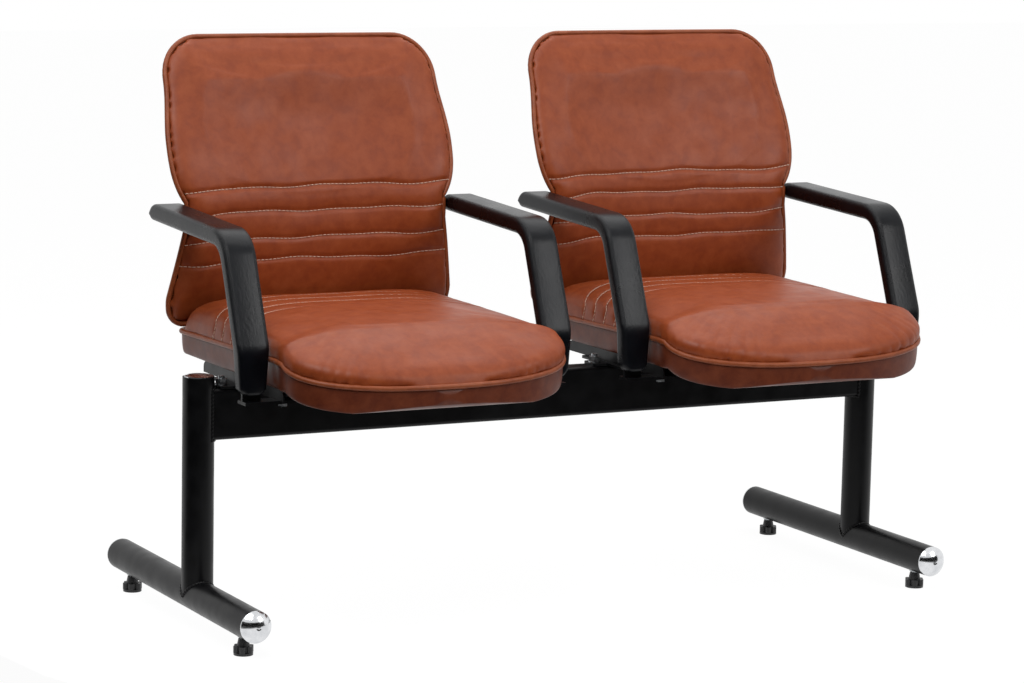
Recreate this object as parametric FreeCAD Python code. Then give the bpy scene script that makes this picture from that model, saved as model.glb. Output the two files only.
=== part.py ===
import FreeCAD, Part
import math
import os

# Two-seat beam bench: two upholstered chairs bolted to one steel beam between two tube legs.
# All sizes are millimetres. X runs along the row, the sitters face -Y, Z is up, the floor is z = 0.
# Everything is drawn around the beam line (y = 0) and moved as a whole when it is written,
# so that the origin lies on the floor under the middle of the whole bench.

os.makedirs("parts", exist_ok=True)
Vector = FreeCAD.Vector
X_AXIS = Vector(1, 0, 0)
Y_AXIS = Vector(0, 1, 0)
Z_AXIS = Vector(0, 0, 1)

# Row and frame
seat_pitch = 660.0
post_gap = 3.0
tube_radius = 25.0
tube_wall = 2.0
foot_clearance = 27.5
post_top = 398.0
beam_top = 379.0
beam_height = 80.0
beam_width = 40.0
beam_wall = 3.0
beam_corner = 6.0
foot_front = -232.0
foot_rear = 328.0
foot_dome = 14.0
post_dome = 5.0
cap_rim = 2.0
cap_skirt = 12.0
cap_wall = 1.5

# Levelling glides
glide_front = -186.0
glide_rear = 280.0
stud_radius = 5.0
stud_top = 60.0
insert_radius = 9.0
insert_height = 16.0
knob_base_radius = 15.0
knob_base_height = 4.0
knob_lobe_reach = 16.2
knob_lobe_radius = 5.0
knob_lobe_count = 6
knob_star_height = 10.0
knob_neck_radius = 10.0
knob_tip_radius = 7.8
knob_height = 25.0
knob_floor = 2.0

# Steel under each seat
carrier_thickness = 4.0
carrier_lip = 10.0
carrier_ear_reach = 72.0
carrier_ear_width = 44.0
carrier_corner = 6.0
rail_height = 18.0
rail_width = 27.0
rail_wall = 2.5
rail_offset = 206.0
rail_front = -188.0
rail_rear = 128.0
rail_heel = 10.0
strap_thickness = 5.0
strap_width = 30.0
strap_inner = 178.0
nut_reach = 22.5
beam_stud_radius = 5.0
beam_nut_flats = 17.0
beam_nut_height = 8.0
washer_radius = 9.5
washer_thickness = 2.0
stud_head_radius = 8.0
stud_head_height = 3.0
stud_tip = 4.0
seat_bolt_radius = 4.0
seat_bolt_flats = 13.0
seat_bolt_head = 5.5
seat_bolt_reach = 52.0
tee_radius = 5.5
tee_flange_radius = 9.0
tee_flange = 1.5
tee_sides = 8

# Seat
pipe_radius = 4.2
pipe_sides = 8
seat_side = 227.3
seat_nose = 234.0
seat_rear = 230.0
seat_front = 311.0
nose_power = 2.35
seat_bend = 215.0
nose_blend = 45.0
nose_fall = 0.82
dome_power = 3.5
seat_corner = 34.0
seam_high = 446.0
seam_rear_drop = 9.0
seam_front_drop = 32.0
seat_crown = 54.0
dome_rear = 189.0
tongue_share = 0.05
band_height = 41.0
band_inset = 4.5
seat_board_thickness = 12.0
seat_board_inset = 11.0
seat_board_corner = 30.0
seat_board_setback = 10.0
seat_underside_wall = 2.0

# Back
back_low = 447.0
back_high = 904.0
back_foot_half = 245.0
back_hip_half = 249.0
back_hip_rise = 43.0
back_shoulder_half = 248.0
back_shoulder_rise = 90.0
back_top_half = 238.0
waist_drop = 11.0
back_waist_half = 227.5
back_waist_flat = 19.0
back_waist_y = 183.5
back_foot_slope = 0.25
back_foot_blend = 60.0
back_top_slope = 0.45
back_top_blend = 70.0
back_top_corner = 66.0
back_low_corner = 26.0
back_hollow = 34.0
back_roll = 20.0
back_board_thickness = 9.0
back_board_inset = 20.0
back_board_rise = 60.0
back_cover_depth = 15.0
back_shoulder = 24.0
back_crown = 3.0

# Armrests
arm_width = 53.0
arm_inner = 232.0
arm_foot_z = 394.0
arm_front = -169.0
arm_upright_depth = 27.0
arm_lean_depth = 25.8
arm_lean = 0.4
arm_knee_z = 462.0
arm_knee_radius = 60.0
arm_top_z = 638.0
arm_top_rise = 0.04
arm_pad_depth = 26.0
arm_bend_outer = 62.0
arm_bend_inner = 38.0
arm_rear = 200.0
arm_rear_top_radius = 16.0
arm_rear_radius = 8.0
arm_edge = 4.2
arm_taper_z = 470.0
arm_taper = 4.5
arm_chamfer = 8.0
tab_thickness = 5.0
tab_height = 18.0
tab_reach = 50.0
tab_angle = math.radians(14)
back_screw_radius = 3.0
back_screw_head = 5.5

# Fits
soft_gap = 0.3
running_gap = 0.05
hole_gap = 0.25
pipe_seat = pipe_radius * 1.4 + soft_gap
back_pipe_seat = pipe_radius * 1.5 + soft_gap

foot_axis_z = foot_clearance + tube_radius
beam_base = beam_top - beam_height
carrier_top = beam_top + carrier_thickness
rail_top = carrier_top + rail_height
strap_base = carrier_top - strap_thickness
arm_middle = arm_inner + arm_width / 2
chair_x = seat_pitch / 2
nut_offset = rail_offset + rail_width / 2 + nut_reach
carrier_half_length = nut_offset + carrier_lip
post_x = chair_x + carrier_half_length + post_gap + tube_radius
post_span = 2 * post_x
nose_length = seat_front - seat_bend
back_hip_z = back_low + back_hip_rise
back_waist_z = arm_top_z - waist_drop
waist_low = back_waist_z - back_waist_flat
waist_high = back_waist_z + back_waist_flat
back_shoulder_z = waist_high + back_shoulder_rise
back_corner_z = back_high - back_top_corner
back_board_low = back_low + back_board_rise
strap_y = arm_front + arm_upright_depth / 2


def box(x0, x1, y0, y1, z0, z1):
    return Part.makeBox(x1 - x0, y1 - y0, z1 - z0, Vector(x0, y0, z0))


def rod(radius, height, base, axis=Z_AXIS):
    return Part.makeCylinder(radius, height, base, axis)


def moved(shape, x, y=0.0, z=0.0):
    copy = shape.copy()
    copy.translate(Vector(x, y, z))
    return copy


def mirrored(shape):
    # the left-hand partner of a right-hand piece
    return shape.mirror(Vector(0, 0, 0), X_AXIS)


def rounded_outline(points, radii):
    """A closed flat wire of lines and arcs: each corner point is rounded by its radius."""
    count = len(points)
    starts = []
    arcs = []
    for index in range(count):
        corner = points[index]
        before = (points[index - 1] - corner).normalize()
        after = (points[(index + 1) % count] - corner).normalize()
        radius = radii[index]
        if radius == 0:
            starts.append((corner, corner))
            arcs.append(None)
            continue
        half_angle = before.getAngle(after) / 2
        tangent = radius / math.tan(half_angle)
        first = corner + before * tangent
        last = corner + after * tangent
        bisector = (before + after).normalize()
        middle = corner + bisector * (radius / math.sin(half_angle) - radius)
        starts.append((first, last))
        arcs.append(Part.Arc(first, middle, last).toShape())
    edges = []
    for index in range(count):
        if arcs[index] is not None:
            edges.append(arcs[index])
        leave = starts[index][1]
        reach = starts[(index + 1) % count][0]
        if (reach - leave).Length > 1e-6:
            edges.append(Part.makeLine(leave, reach))
    return Part.Wire(edges)


def plate(points, radii, direction):
    return Part.Face(rounded_outline(points, radii)).extrude(direction)


def prism(sides, radius, height, base):
    corners = []
    for index in range(sides + 1):
        angle = 2 * math.pi * index / sides
        corners.append(base + Vector(radius * math.cos(angle), radius * math.sin(angle), 0))
    return Part.Face(Part.makePolygon(corners)).extrude(Vector(0, 0, height))


def hexagon(flats, height, base):
    return prism(6, flats / math.sqrt(3), height, base)


def dome(radius, rise, wall, skirt_radius, skirt):
    """A pressed cap: a shallow dome on a thin rim, with a skirt that plugs into the tube."""
    sphere = (radius * radius + rise * rise) / (2 * rise)
    top = Part.Arc(Vector(radius, 0, wall), Vector(radius * 0.55, 0, wall + rise - sphere
                   + math.sqrt(sphere ** 2 - (radius * 0.55) ** 2)), Vector(0, 0, wall + rise))
    edges = [
        top.toShape(),
        Part.makeLine(Vector(0, 0, wall + rise), Vector(0, 0, rise * 0.5)),
        Part.makeLine(Vector(0, 0, rise * 0.5), Vector(skirt_radius - wall, 0, 0)),
        Part.makeLine(Vector(skirt_radius - wall, 0, 0), Vector(skirt_radius - wall, 0, -skirt)),
        Part.makeLine(Vector(skirt_radius - wall, 0, -skirt), Vector(skirt_radius, 0, -skirt)),
        Part.makeLine(Vector(skirt_radius, 0, -skirt), Vector(skirt_radius, 0, 0)),
    ]
    if radius > skirt_radius:
        edges.append(Part.makeLine(Vector(skirt_radius, 0, 0), Vector(radius, 0, 0)))
        edges.append(Part.makeLine(Vector(radius, 0, 0), Vector(radius, 0, wall)))
    else:
        edges.append(Part.makeLine(Vector(skirt_radius, 0, 0), Vector(radius, 0, wall)))
    return Part.Face(Part.Wire(edges)).revolve(Vector(0, 0, 0), Z_AXIS, 360)


# Frame: beam, posts, feet and their caps


def make_beam():
    half = beam_width / 2
    outer = [Vector(0, -half, beam_base), Vector(0, half, beam_base),
             Vector(0, half, beam_top), Vector(0, -half, beam_top)]
    inset = half - beam_wall
    inner = [Vector(0, -inset, beam_base + beam_wall), Vector(0, inset, beam_base + beam_wall),
             Vector(0, inset, beam_top - beam_wall), Vector(0, -inset, beam_top - beam_wall)]
    tube = plate(outer, [beam_corner] * 4, Vector(post_span, 0, 0))
    tube = tube.cut(plate(inner, [beam_corner - beam_wall] * 4, Vector(post_span, 0, 0)))
    tube.translate(Vector(-post_x, 0, 0))
    for side in (-1, 1):
        tube = tube.cut(rod(tube_radius, post_top, Vector(side * post_x, 0, 0)))
    for x in nut_places():
        hole_base = Vector(x, 0, beam_top - beam_wall * 1.5)
        tube = tube.cut(rod(beam_stud_radius + hole_gap, beam_wall * 2, hole_base))
    return tube


def nut_places():
    return [chair * chair_x + side * nut_offset for chair in (-1, 1) for side in (-1, 1)]


def make_post(side):
    x = side * post_x
    base = Vector(x, 0, foot_axis_z)
    height = post_top - foot_axis_z
    tube = rod(tube_radius, height, base).cut(rod(tube_radius - tube_wall, height, base))
    return tube.cut(rod(tube_radius, foot_rear - foot_front, Vector(x, foot_front, foot_axis_z), Y_AXIS))


def make_foot(side):
    x = side * post_x
    base = Vector(x, foot_front, foot_axis_z)
    length = foot_rear - foot_front
    tube = rod(tube_radius, length, base, Y_AXIS)
    tube = tube.cut(rod(tube_radius - tube_wall, length, base, Y_AXIS))
    for y in (glide_front, glide_rear):
        tube = tube.cut(rod(insert_radius, tube_radius, Vector(x, y, 0)))
        tube = tube.cut(rod(insert_radius, tube_radius, Vector(x, y, foot_axis_z - tube_radius)))
    return tube


def make_post_cap(side):
    cap = dome(tube_radius - tube_wall, post_dome - cap_rim, cap_wall, tube_radius - tube_wall, cap_skirt)
    return moved(cap, side * post_x, 0, post_top)


def make_foot_cap(side, y, direction):
    cap = dome(tube_radius, foot_dome - cap_rim, cap_rim, tube_radius - tube_wall, cap_skirt)
    cap.rotate(Vector(0, 0, 0), X_AXIS, -90 * direction)
    return moved(cap, side * post_x, y, foot_axis_z)


# Levelling glides


def make_insert(x, y):
    # a threaded bush welded into the bottom wall of the foot tube
    base = Vector(x, y, foot_clearance)
    bush = rod(insert_radius, insert_height, base)
    return bush.cut(rod(stud_radius + running_gap, insert_height, base))


def make_stud(x, y):
    length = stud_top - knob_floor
    stud = rod(stud_radius, length, Vector(x, y, knob_floor))
    return stud.makeChamfer(1.0, [edge for edge in stud.Edges if edge.BoundBox.ZMin > stud_top - 1e-6])


def make_knob(x, y):
    star = rod(knob_lobe_reach - knob_lobe_radius, knob_star_height, Vector(0, 0, 0))
    for index in range(knob_lobe_count):
        angle = math.radians(360 / knob_lobe_count * index)
        reach = knob_lobe_reach - knob_lobe_radius
        place = Vector(reach * math.cos(angle), reach * math.sin(angle), 0)
        star = star.fuse(rod(knob_lobe_radius, knob_star_height, place))
    star.translate(Vector(0, 0, knob_base_height))
    neck_base = knob_base_height + knob_star_height
    neck = Part.makeCone(knob_neck_radius, knob_tip_radius, knob_height - neck_base, Vector(0, 0, neck_base))
    knob = rod(knob_base_radius, knob_base_height, Vector(0, 0, 0)).fuse([star, neck]).removeSplitter()
    bore = rod(stud_radius + running_gap, knob_height, Vector(0, 0, knob_floor))
    return moved(knob.cut(bore), x, y)


# Steel under a seat, drawn for a chair centred on x = 0


def rail_bolt_places():
    places = []
    for side in (-1, 1):
        places.append((side * rail_offset, -seat_bolt_reach, carrier_top - carrier_thickness))
        places.append((side * rail_offset, seat_bolt_reach, carrier_top - carrier_thickness))
        places.append((side * rail_offset, strap_y, strap_base))
    return places


def drilled_for_seat_bolts(shape):
    for x, y, z in rail_bolt_places():
        shape = shape.cut(rod(seat_bolt_radius + hole_gap, 3 * rail_height, Vector(x, y, z - rail_height)))
    return shape


def make_carrier():
    half = beam_width / 2
    ear_in = rail_offset - carrier_ear_width / 2
    ear_out = rail_offset + carrier_ear_width / 2
    right = [(carrier_half_length, half), (ear_out, half), (ear_out, carrier_ear_reach),
             (ear_in, carrier_ear_reach), (ear_in, half)]
    quarter_round = [carrier_corner, 0, carrier_corner, carrier_corner, 0]
    outline = [Vector(x, -y, beam_top) for x, y in reversed(right)]
    radii = list(reversed(quarter_round))
    outline += [Vector(x, y, beam_top) for x, y in right]
    radii += quarter_round
    outline += [Vector(-x, y, beam_top) for x, y in reversed(right)]
    radii += list(reversed(quarter_round))
    outline += [Vector(-x, -y, beam_top) for x, y in right]
    radii += quarter_round
    carrier = drilled_for_seat_bolts(plate(outline, radii, Vector(0, 0, carrier_thickness)))
    for side in (-1, 1):
        hole_base = Vector(side * nut_offset, 0, beam_top - 1)
        carrier = carrier.cut(rod(beam_stud_radius + hole_gap, 2 * carrier_thickness, hole_base))
    return carrier


def make_rail():
    half = rail_width / 2
    heel = min(rail_heel, rail_height - rail_wall)
    inner = rail_offset - half
    outer = rail_offset + half
    outline = [Vector(inner, rail_front, carrier_top), Vector(inner, rail_rear, carrier_top),
               Vector(inner, rail_rear, rail_top), Vector(inner, rail_front, rail_top)]
    rail = plate(outline, [0, 0, heel, heel], Vector(rail_width, 0, 0))
    channel = box(inner + rail_wall, outer - rail_wall, rail_front - 1, rail_rear + 1,
                  carrier_top - 1, rail_top - rail_wall)
    return drilled_for_seat_bolts(rail.cut(channel))


def make_seat_bolt(x, y, z):
    head = hexagon(seat_bolt_flats, seat_bolt_head, Vector(x, y, z - seat_bolt_head))
    shank = rod(seat_bolt_radius, board_top() - z, Vector(x, y, z))
    return head.fuse(shank)


def board_base():
    return rail_top + seat_underside_wall + soft_gap


def board_top():
    return board_base() + seat_board_thickness


def make_tee_nut(x, y):
    flange = prism(tee_sides, tee_flange_radius, tee_flange, Vector(x, y, board_top()))
    barrel = prism(tee_sides, tee_radius, seat_board_thickness, Vector(x, y, board_base()))
    bore_radius = seat_bolt_radius / math.cos(math.pi / tee_sides)
    bore = prism(tee_sides, bore_radius, 2 * seat_board_thickness, Vector(x, y, board_base()))
    return flange.fuse(barrel).cut(bore)


def make_beam_stud(x):
    head = rod(stud_head_radius, stud_head_height, Vector(x, 0, beam_top - beam_wall - stud_head_height))
    top = carrier_top + washer_thickness + beam_nut_height + stud_tip
    return head.fuse(rod(beam_stud_radius, top - (beam_top - beam_wall), Vector(x, 0, beam_top - beam_wall)))


def make_beam_washer(x):
    disc = rod(washer_radius, washer_thickness, Vector(x, 0, carrier_top))
    return disc.cut(rod(beam_stud_radius + hole_gap, washer_thickness, Vector(x, 0, carrier_top)))


def make_beam_nut(x):
    base = Vector(x, 0, carrier_top + washer_thickness)
    return hexagon(beam_nut_flats, beam_nut_height, base).cut(rod(beam_stud_radius, beam_nut_height, base))


# Armrest, drawn for the right-hand arm of a chair centred on x = 0


def arm_side_points():
    def crossing(depth, pad):
        # where the leaning line meets the top line (pad = 0) or the underside of the pad
        level = arm_top_z - pad
        slope = arm_lean * arm_top_rise
        y = (arm_front + depth + arm_lean * (level - arm_knee_z)) / (1 - slope)
        return (y, level + arm_top_rise * y)

    outer = crossing(0.0, 0.0)
    inner = crossing(arm_lean_depth, arm_pad_depth)
    inner_knee_z = arm_knee_z + (arm_upright_depth - arm_lean_depth) / arm_lean
    rear_z = arm_top_z + arm_top_rise * arm_rear
    points = [
        (arm_front, arm_foot_z), (arm_front, arm_knee_z), outer, (arm_rear, rear_z),
        (arm_rear, rear_z - arm_pad_depth), inner,
        (arm_front + arm_upright_depth, inner_knee_z), (arm_front + arm_upright_depth, arm_foot_z)]
    radii = [0, arm_knee_radius, arm_bend_outer, arm_rear_top_radius, arm_rear_radius,
             arm_bend_inner, arm_knee_radius, 0]
    return points, radii


def arm_front_outline():
    # the foot of the arm narrows and ends in two chamfers
    half = arm_width / 2
    foot = half - arm_taper
    points = [(-foot + arm_chamfer, arm_foot_z), (foot - arm_chamfer, arm_foot_z),
              (foot, arm_foot_z + arm_chamfer), (half, arm_taper_z), (half, 2 * arm_top_z),
              (-half, 2 * arm_top_z), (-half, arm_taper_z), (-foot, arm_foot_z + arm_chamfer)]
    return [Vector(arm_middle + x, -seat_front, z) for x, z in points]


def make_arm(steel):
    points, radii = arm_side_points()
    side = [Vector(arm_inner, y, z) for y, z in points]
    arm = plate(side, radii, Vector(arm_width, 0, 0))
    long_edges = []
    for edge in arm.Edges:
        flat = abs(edge.BoundBox.XMax - edge.BoundBox.XMin) < 1e-6
        if flat and edge.BoundBox.ZMax > arm_foot_z + 1:
            long_edges.append(edge)
    arm = arm.makeChamfer(arm_edge, long_edges)
    front = arm_front_outline()
    arm = arm.common(Part.Face(Part.makePolygon(front + [front[0]])).extrude(Vector(0, 2 * seat_front, 0)))
    return arm.cut(steel)


def make_arm_steel():
    """Strap under the rail, upright strip that follows the arm, and the tab behind the back board."""
    inset = (arm_upright_depth - strap_thickness) / 2
    top_inset = (arm_pad_depth - strap_thickness) / 2
    bend = (arm_bend_outer + arm_bend_inner) / 2

    def line_point(depth, pad):
        level = arm_top_z - pad
        y = (arm_front + depth + arm_lean * (level - arm_knee_z)) / (1 - arm_lean * arm_top_rise)
        return Vector(0, y, level + arm_top_rise * y)

    front_face = arm_front + inset
    tab_front = tab_y()
    rear_level = arm_top_z - top_inset + arm_top_rise * tab_front
    outline = [
        Vector(0, front_face, carrier_top), Vector(0, front_face, arm_knee_z),
        line_point(inset, top_inset), Vector(0, tab_front, rear_level),
        Vector(0, tab_front, rear_level - strap_thickness),
        line_point(inset + strap_thickness, top_inset + strap_thickness),
        Vector(0, front_face + strap_thickness, arm_knee_z),
        Vector(0, front_face + strap_thickness, carrier_top)]
    radii = [0, arm_knee_radius, bend, 0, 0, bend - strap_thickness, arm_knee_radius, 0]
    strip = plate(outline, radii, Vector(strap_width, 0, 0))
    strip.translate(Vector(arm_middle - strap_width / 2, 0, 0))
    outer = arm_middle + strap_width / 2
    strap = box(strap_inner, outer, strap_y - strap_width / 2, strap_y + strap_width / 2,
                strap_base, carrier_top)
    middle = rear_level - strap_thickness / 2
    tab = moved(make_tab(outer), 0, 0, middle - tab_height / 2)
    steel = strip.fuse([strap, tab]).removeSplitter()
    steel = drilled_for_seat_bolts(steel)
    for place in tab_screw_places():
        start = place - tab_normal() * 2
        steel = steel.cut(rod(back_screw_radius + hole_gap, 2 * tab_thickness, start, tab_normal()))
    return steel


def tab_y():
    return back_waist_y + pipe_radius + 4 * soft_gap


def tab_bend_x():
    return back_waist_half - pipe_radius - soft_gap - tab_thickness


def tab_normal():
    return Vector(math.sin(tab_angle), math.cos(tab_angle), 0)


def make_tab(outer):
    # plan of the tab: straight through the arm, then turned to lie along the hollow back board
    bend = Vector(tab_bend_x(), tab_y(), 0)
    run = Vector(-math.cos(tab_angle), math.sin(tab_angle), 0) * tab_reach
    across = tab_normal() * tab_thickness
    turn = Vector(tab_thickness * math.tan(tab_angle / 2), tab_thickness, 0)
    outline = [Vector(outer, tab_y(), 0), bend, bend + run, bend + run + across, bend + turn,
               Vector(outer, tab_y() + tab_thickness, 0)]
    return Part.Face(Part.makePolygon(outline + [outline[0]])).extrude(Vector(0, 0, tab_height))


def tab_screw_places():
    # points on the front face of the tab
    level = arm_top_z - arm_pad_depth / 2 + arm_top_rise * tab_y()
    start = Vector(tab_bend_x(), tab_y(), level)
    run = Vector(-math.cos(tab_angle), math.sin(tab_angle), 0)
    return [start + run * reach for reach in (tab_reach * 0.45, tab_reach * 0.8)]


# Upholstery, drawn for a chair centred on x = 0


def smooth_step(value):
    value = min(max(value, 0.0), 1.0)
    return value * value * (3 - 2 * value)


def polyline(points):
    return Part.makePolygon(points + [points[0]])


def seam_tube(points):
    """Piping: a many-sided cord lofted through the points of a closed seam."""
    count = len(points)
    rings = []
    for index in range(count):
        along = (points[(index + 1) % count] - points[index - 1]).normalize()
        side = along.cross(Vector(0.1, 0.2, 1)).normalize()
        up = side.cross(along)
        ring = []
        for corner in range(pipe_sides):
            angle = 2 * math.pi * corner / pipe_sides
            ring.append(points[index] + (side * math.cos(angle) + up * math.sin(angle)) * pipe_radius)
        rings.append(polyline(ring))
    return Part.makeLoft(rings, True, True, True)


# seat


def seam_height(y):
    if y > -seat_bend:
        return seam_high - seam_rear_drop * (y + seat_bend) / (seat_rear + seat_bend)
    return seam_high - seam_front_drop * ((-seat_bend - y) / nose_length) ** nose_fall


def seat_half(y, inset=0.0):
    # half width of the seat at y, for its seam or for a line that lies inset within the seam
    side = seat_nose - (seat_nose - seat_side) * smooth_step((y + seat_bend) / nose_blend) - inset
    corner_radius = seat_corner - inset
    corner = y - (seat_rear - seat_corner)
    if corner > 0:
        return side - corner_radius + math.sqrt(max(corner_radius ** 2 - corner ** 2, 0))
    if y > -seat_bend:
        return side
    reach = min((-seat_bend - y) / (seat_front - inset - seat_bend), 1.0)
    return side * (1 - reach ** nose_power) ** (1 / nose_power)


def nose_slack(y):
    # the seam lies pipe_seat further out than the padding that ends against it
    return pipe_seat * smooth_step((-seat_bend - y) / nose_length)


def seat_seam():
    right = [(0, seat_rear), (seat_side - seat_corner, seat_rear)]
    for degrees in (60, 30):
        angle = math.radians(degrees)
        right.append((seat_side - seat_corner * (1 - math.cos(angle)),
                      seat_rear - seat_corner * (1 - math.sin(angle))))
    for y in (seat_rear - seat_corner, 0, nose_blend - seat_bend, nose_blend / 2 - seat_bend, -seat_bend):
        right.append((seat_half(y), y))
    for degrees in (18, 34, 48, 60, 72, 82):
        angle = math.radians(degrees)
        y = -seat_bend - nose_length * math.sin(angle) ** (2 / nose_power)
        right.append((seat_nose * math.cos(angle) ** (2 / nose_power), y))
    right.append((0, -seat_front))
    left = [(-x, y) for x, y in reversed(right[1:-1])]
    return [Vector(x, y, seam_height(y)) for x, y in right + left]


def seat_dome_section(y, rise):
    # a flat base with a rounded, full-sided dome on it
    half = seat_half(y, pipe_seat)
    z = seam_height(y - nose_slack(y)) + soft_gap
    right = []
    for degrees in (0, 10, 24, 42, 62, 78):
        angle = math.radians(degrees)
        right.append(Vector(half * math.cos(angle) ** (2 / dome_power), y,
                            z + rise * math.sin(angle) ** (2 / dome_power)))
    left = [Vector(-point.x, point.y, point.z) for point in reversed(right)]
    return polyline(right + [Vector(0, y, z + rise)] + left)


def make_seat_cushion():
    rear = seat_rear - pipe_seat
    nose = -seat_front + pipe_seat
    bend = -seat_bend
    stations = [(rear - 0.5, tongue_share * 0.6), (dome_rear + 1, tongue_share), (dome_rear, 0.55),
                (dome_rear - 12, 0.86), (dome_rear - 38, 1.0), (bend + nose_length * 0.7, 0.99),
                (bend, 0.96), (bend - nose_length * 0.4, 0.85), (bend - nose_length * 0.69, 0.64),
                (nose + 9, 0.40), (nose + 1, 0.16)]
    return Part.makeLoft([seat_dome_section(y, seat_crown * share) for y, share in stations], True, True)


def seat_band_section(y, share):
    half = seat_half(y, pipe_seat)
    z = seam_height(y - nose_slack(y)) - soft_gap
    low = rail_top - (rail_top - (seam_height(y) - band_height)) * smooth_step((-seat_bend + 25 - y) / 40)
    low = z - (z - low) * share
    foot = max(half - band_inset, half * 0.5)
    points = [Vector(half, y, z), Vector(half - 1, y, z - (z - low) * 0.45),
              Vector(half - 4, y, z - (z - low) * 0.8), Vector(foot, y, low)]
    points += [Vector(-point.x, point.y, point.z) for point in reversed(points)]
    return polyline(points)


def make_seat_skirt(board):
    rear = seat_rear - pipe_seat
    nose = -seat_front + pipe_seat
    stations = [(rear - 0.5, 0.7), (rear - 10, 0.9), (seat_rear - seat_corner, 1.0),
                (nose_blend - seat_bend, 1.0), (-seat_bend, 1.0), (-seat_bend - nose_length * 0.31, 1.0),
                (-seat_bend - nose_length * 0.62, 1.0), (nose + 9, 0.9), (nose + 1, 0.55)]
    skirt = Part.makeLoft([seat_band_section(y, share) for y, share in stations], True, True)
    skirt = skirt.cut(board)
    for x, y, z in rail_bolt_places():
        hole_radius = (seat_bolt_radius + hole_gap) / math.cos(math.pi / tee_sides)
        skirt = skirt.cut(prism(tee_sides, hole_radius, board_base() - z, Vector(x, y, z)))
        pocket_radius = tee_flange_radius + soft_gap
        pocket_base = Vector(x, y, board_top())
        skirt = skirt.cut(prism(tee_sides, pocket_radius, tee_flange + 2 * soft_gap, pocket_base))
    return skirt


def seat_board_outline(grow):
    inset = seat_board_inset - grow
    front = seat_board_setback - seat_bend - grow
    half = seat_side - inset
    return [Vector(half, front, 0), Vector(half, seat_rear - inset, 0),
            Vector(-half, seat_rear - inset, 0), Vector(-half, front, 0)]


def make_seat_board(grow=0.0):
    outline = [point + Vector(0, 0, board_base() - grow) for point in seat_board_outline(grow)]
    corner = seat_board_corner + grow
    board = plate(outline, [corner] * 4, Vector(0, 0, seat_board_thickness + 2 * grow))
    if grow == 0:
        for x, y, z in rail_bolt_places():
            board = board.cut(prism(tee_sides, tee_radius, seat_board_thickness, Vector(x, y, board_base())))
    return board


# back


def back_line(z):
    # y of the seam: a lumbar bend with a gentle slope below it and a steeper one above it
    rise = z - back_waist_z
    if rise > 0:
        return back_waist_y + back_top_slope * (math.hypot(rise, back_top_blend) - back_top_blend)
    return back_waist_y + back_foot_slope * (math.hypot(rise, back_foot_blend) - back_foot_blend)


def between(first, last, share):
    return first + (last - first) * share


def back_half_width(z, inset=0.0):
    # half width of the back at height z, for its seam or for a line that lies inset within the seam
    if z < back_hip_z:
        full = between(back_foot_half, back_hip_half, smooth_step((z - back_low) / back_hip_rise))
    elif z < waist_low:
        full = between(back_hip_half, back_waist_half, (z - back_hip_z) / (waist_low - back_hip_z))
    elif z < waist_high:
        full = back_waist_half
    elif z < back_shoulder_z:
        full = between(back_shoulder_half, back_waist_half, (1 - (z - waist_high) / back_shoulder_rise) ** 3)
    else:
        reach = (z - back_shoulder_z) / (back_corner_z - back_shoulder_z)
        full = between(back_shoulder_half, back_top_half, smooth_step(reach))
    full -= inset
    for radius, reach in ((back_top_corner, z - back_corner_z),
                          (back_low_corner, back_low + back_low_corner - z)):
        if reach > 0:
            corner = radius - inset
            full -= corner - math.sqrt(max(corner ** 2 - reach ** 2, 0))
    return full


def back_sag(z):
    # how far the middle of the shell lies behind its side seams: most at the waist, less at the top
    fall_start = (back_waist_z + back_high) / 2
    fall = smooth_step((z - fall_start) / (back_high - fall_start))
    return back_hollow * smooth_step((z - back_low) / (back_waist_z - back_low)) * (1 - 0.7 * fall)


def back_side_levels():
    # heights where the sides of the back are drawn, between its rounded corners
    bulge = [waist_high + back_shoulder_rise * share for share in (0.12, 0.3, 0.6)]
    lower = [back_low + back_low_corner, back_hip_z, (back_hip_z + waist_low) / 2, waist_low, waist_high]
    return lower + bulge + [back_shoulder_z, (back_shoulder_z + back_corner_z) / 2, back_corner_z]


def low_corner_level(degrees):
    return back_low + back_low_corner * (1 - math.cos(math.radians(degrees)))


def top_corner_level(degrees):
    return back_high - back_top_corner * (1 - math.cos(math.radians(degrees)))


def back_seam():
    levels = [low_corner_level(0), low_corner_level(35), low_corner_level(65)] + back_side_levels()
    levels += [top_corner_level(68), top_corner_level(46), top_corner_level(24), top_corner_level(0)]
    right = [Vector(0, back_line(back_low), back_low)]
    right += [Vector(back_half_width(z), back_line(z), z) for z in levels]
    right.append(Vector(0, back_line(back_high) + back_sag(back_high) * 0.4, back_high))
    left = [Vector(-point.x, point.y, point.z) for point in reversed(right[1:-1])]
    return right + left


def back_stations():
    low = back_low + back_pipe_seat + 0.5
    high = back_high - back_pipe_seat - 0.5
    return [low] + back_side_levels() + [top_corner_level(68), top_corner_level(46), high]


def pad_share(z):
    # how much of its full roll the padding has at height z
    start = (z - back_low) / (waist_low - back_low)
    finish = (back_high - back_pipe_seat - z) / (back_top_corner - back_pipe_seat)
    return min(0.3 + 0.7 * min(start, 1), 0.22 + 0.78 * math.sqrt(min(max(finish, 0), 1)))


def shell_row(z, end, offset):
    """Points across the hollow shell at height z, from -end to end, offset behind (+) or before (-) it."""
    full = back_half_width(z, back_pipe_seat)
    sag = back_sag(z) * (full / back_hip_half) ** 2
    edge = back_line(z) + offset
    right = [Vector(full * share, edge + sag * (1 - share ** 2), z) for share in (0, 0.3, 0.6, 0.85)]
    last = right[-1]
    right.append(last + (Vector(full, edge, z) - last) * ((end - last.x) / (full - last.x)))
    left = [Vector(-point.x, point.y, point.z) for point in reversed(right[1:])]
    return left + right


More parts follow.
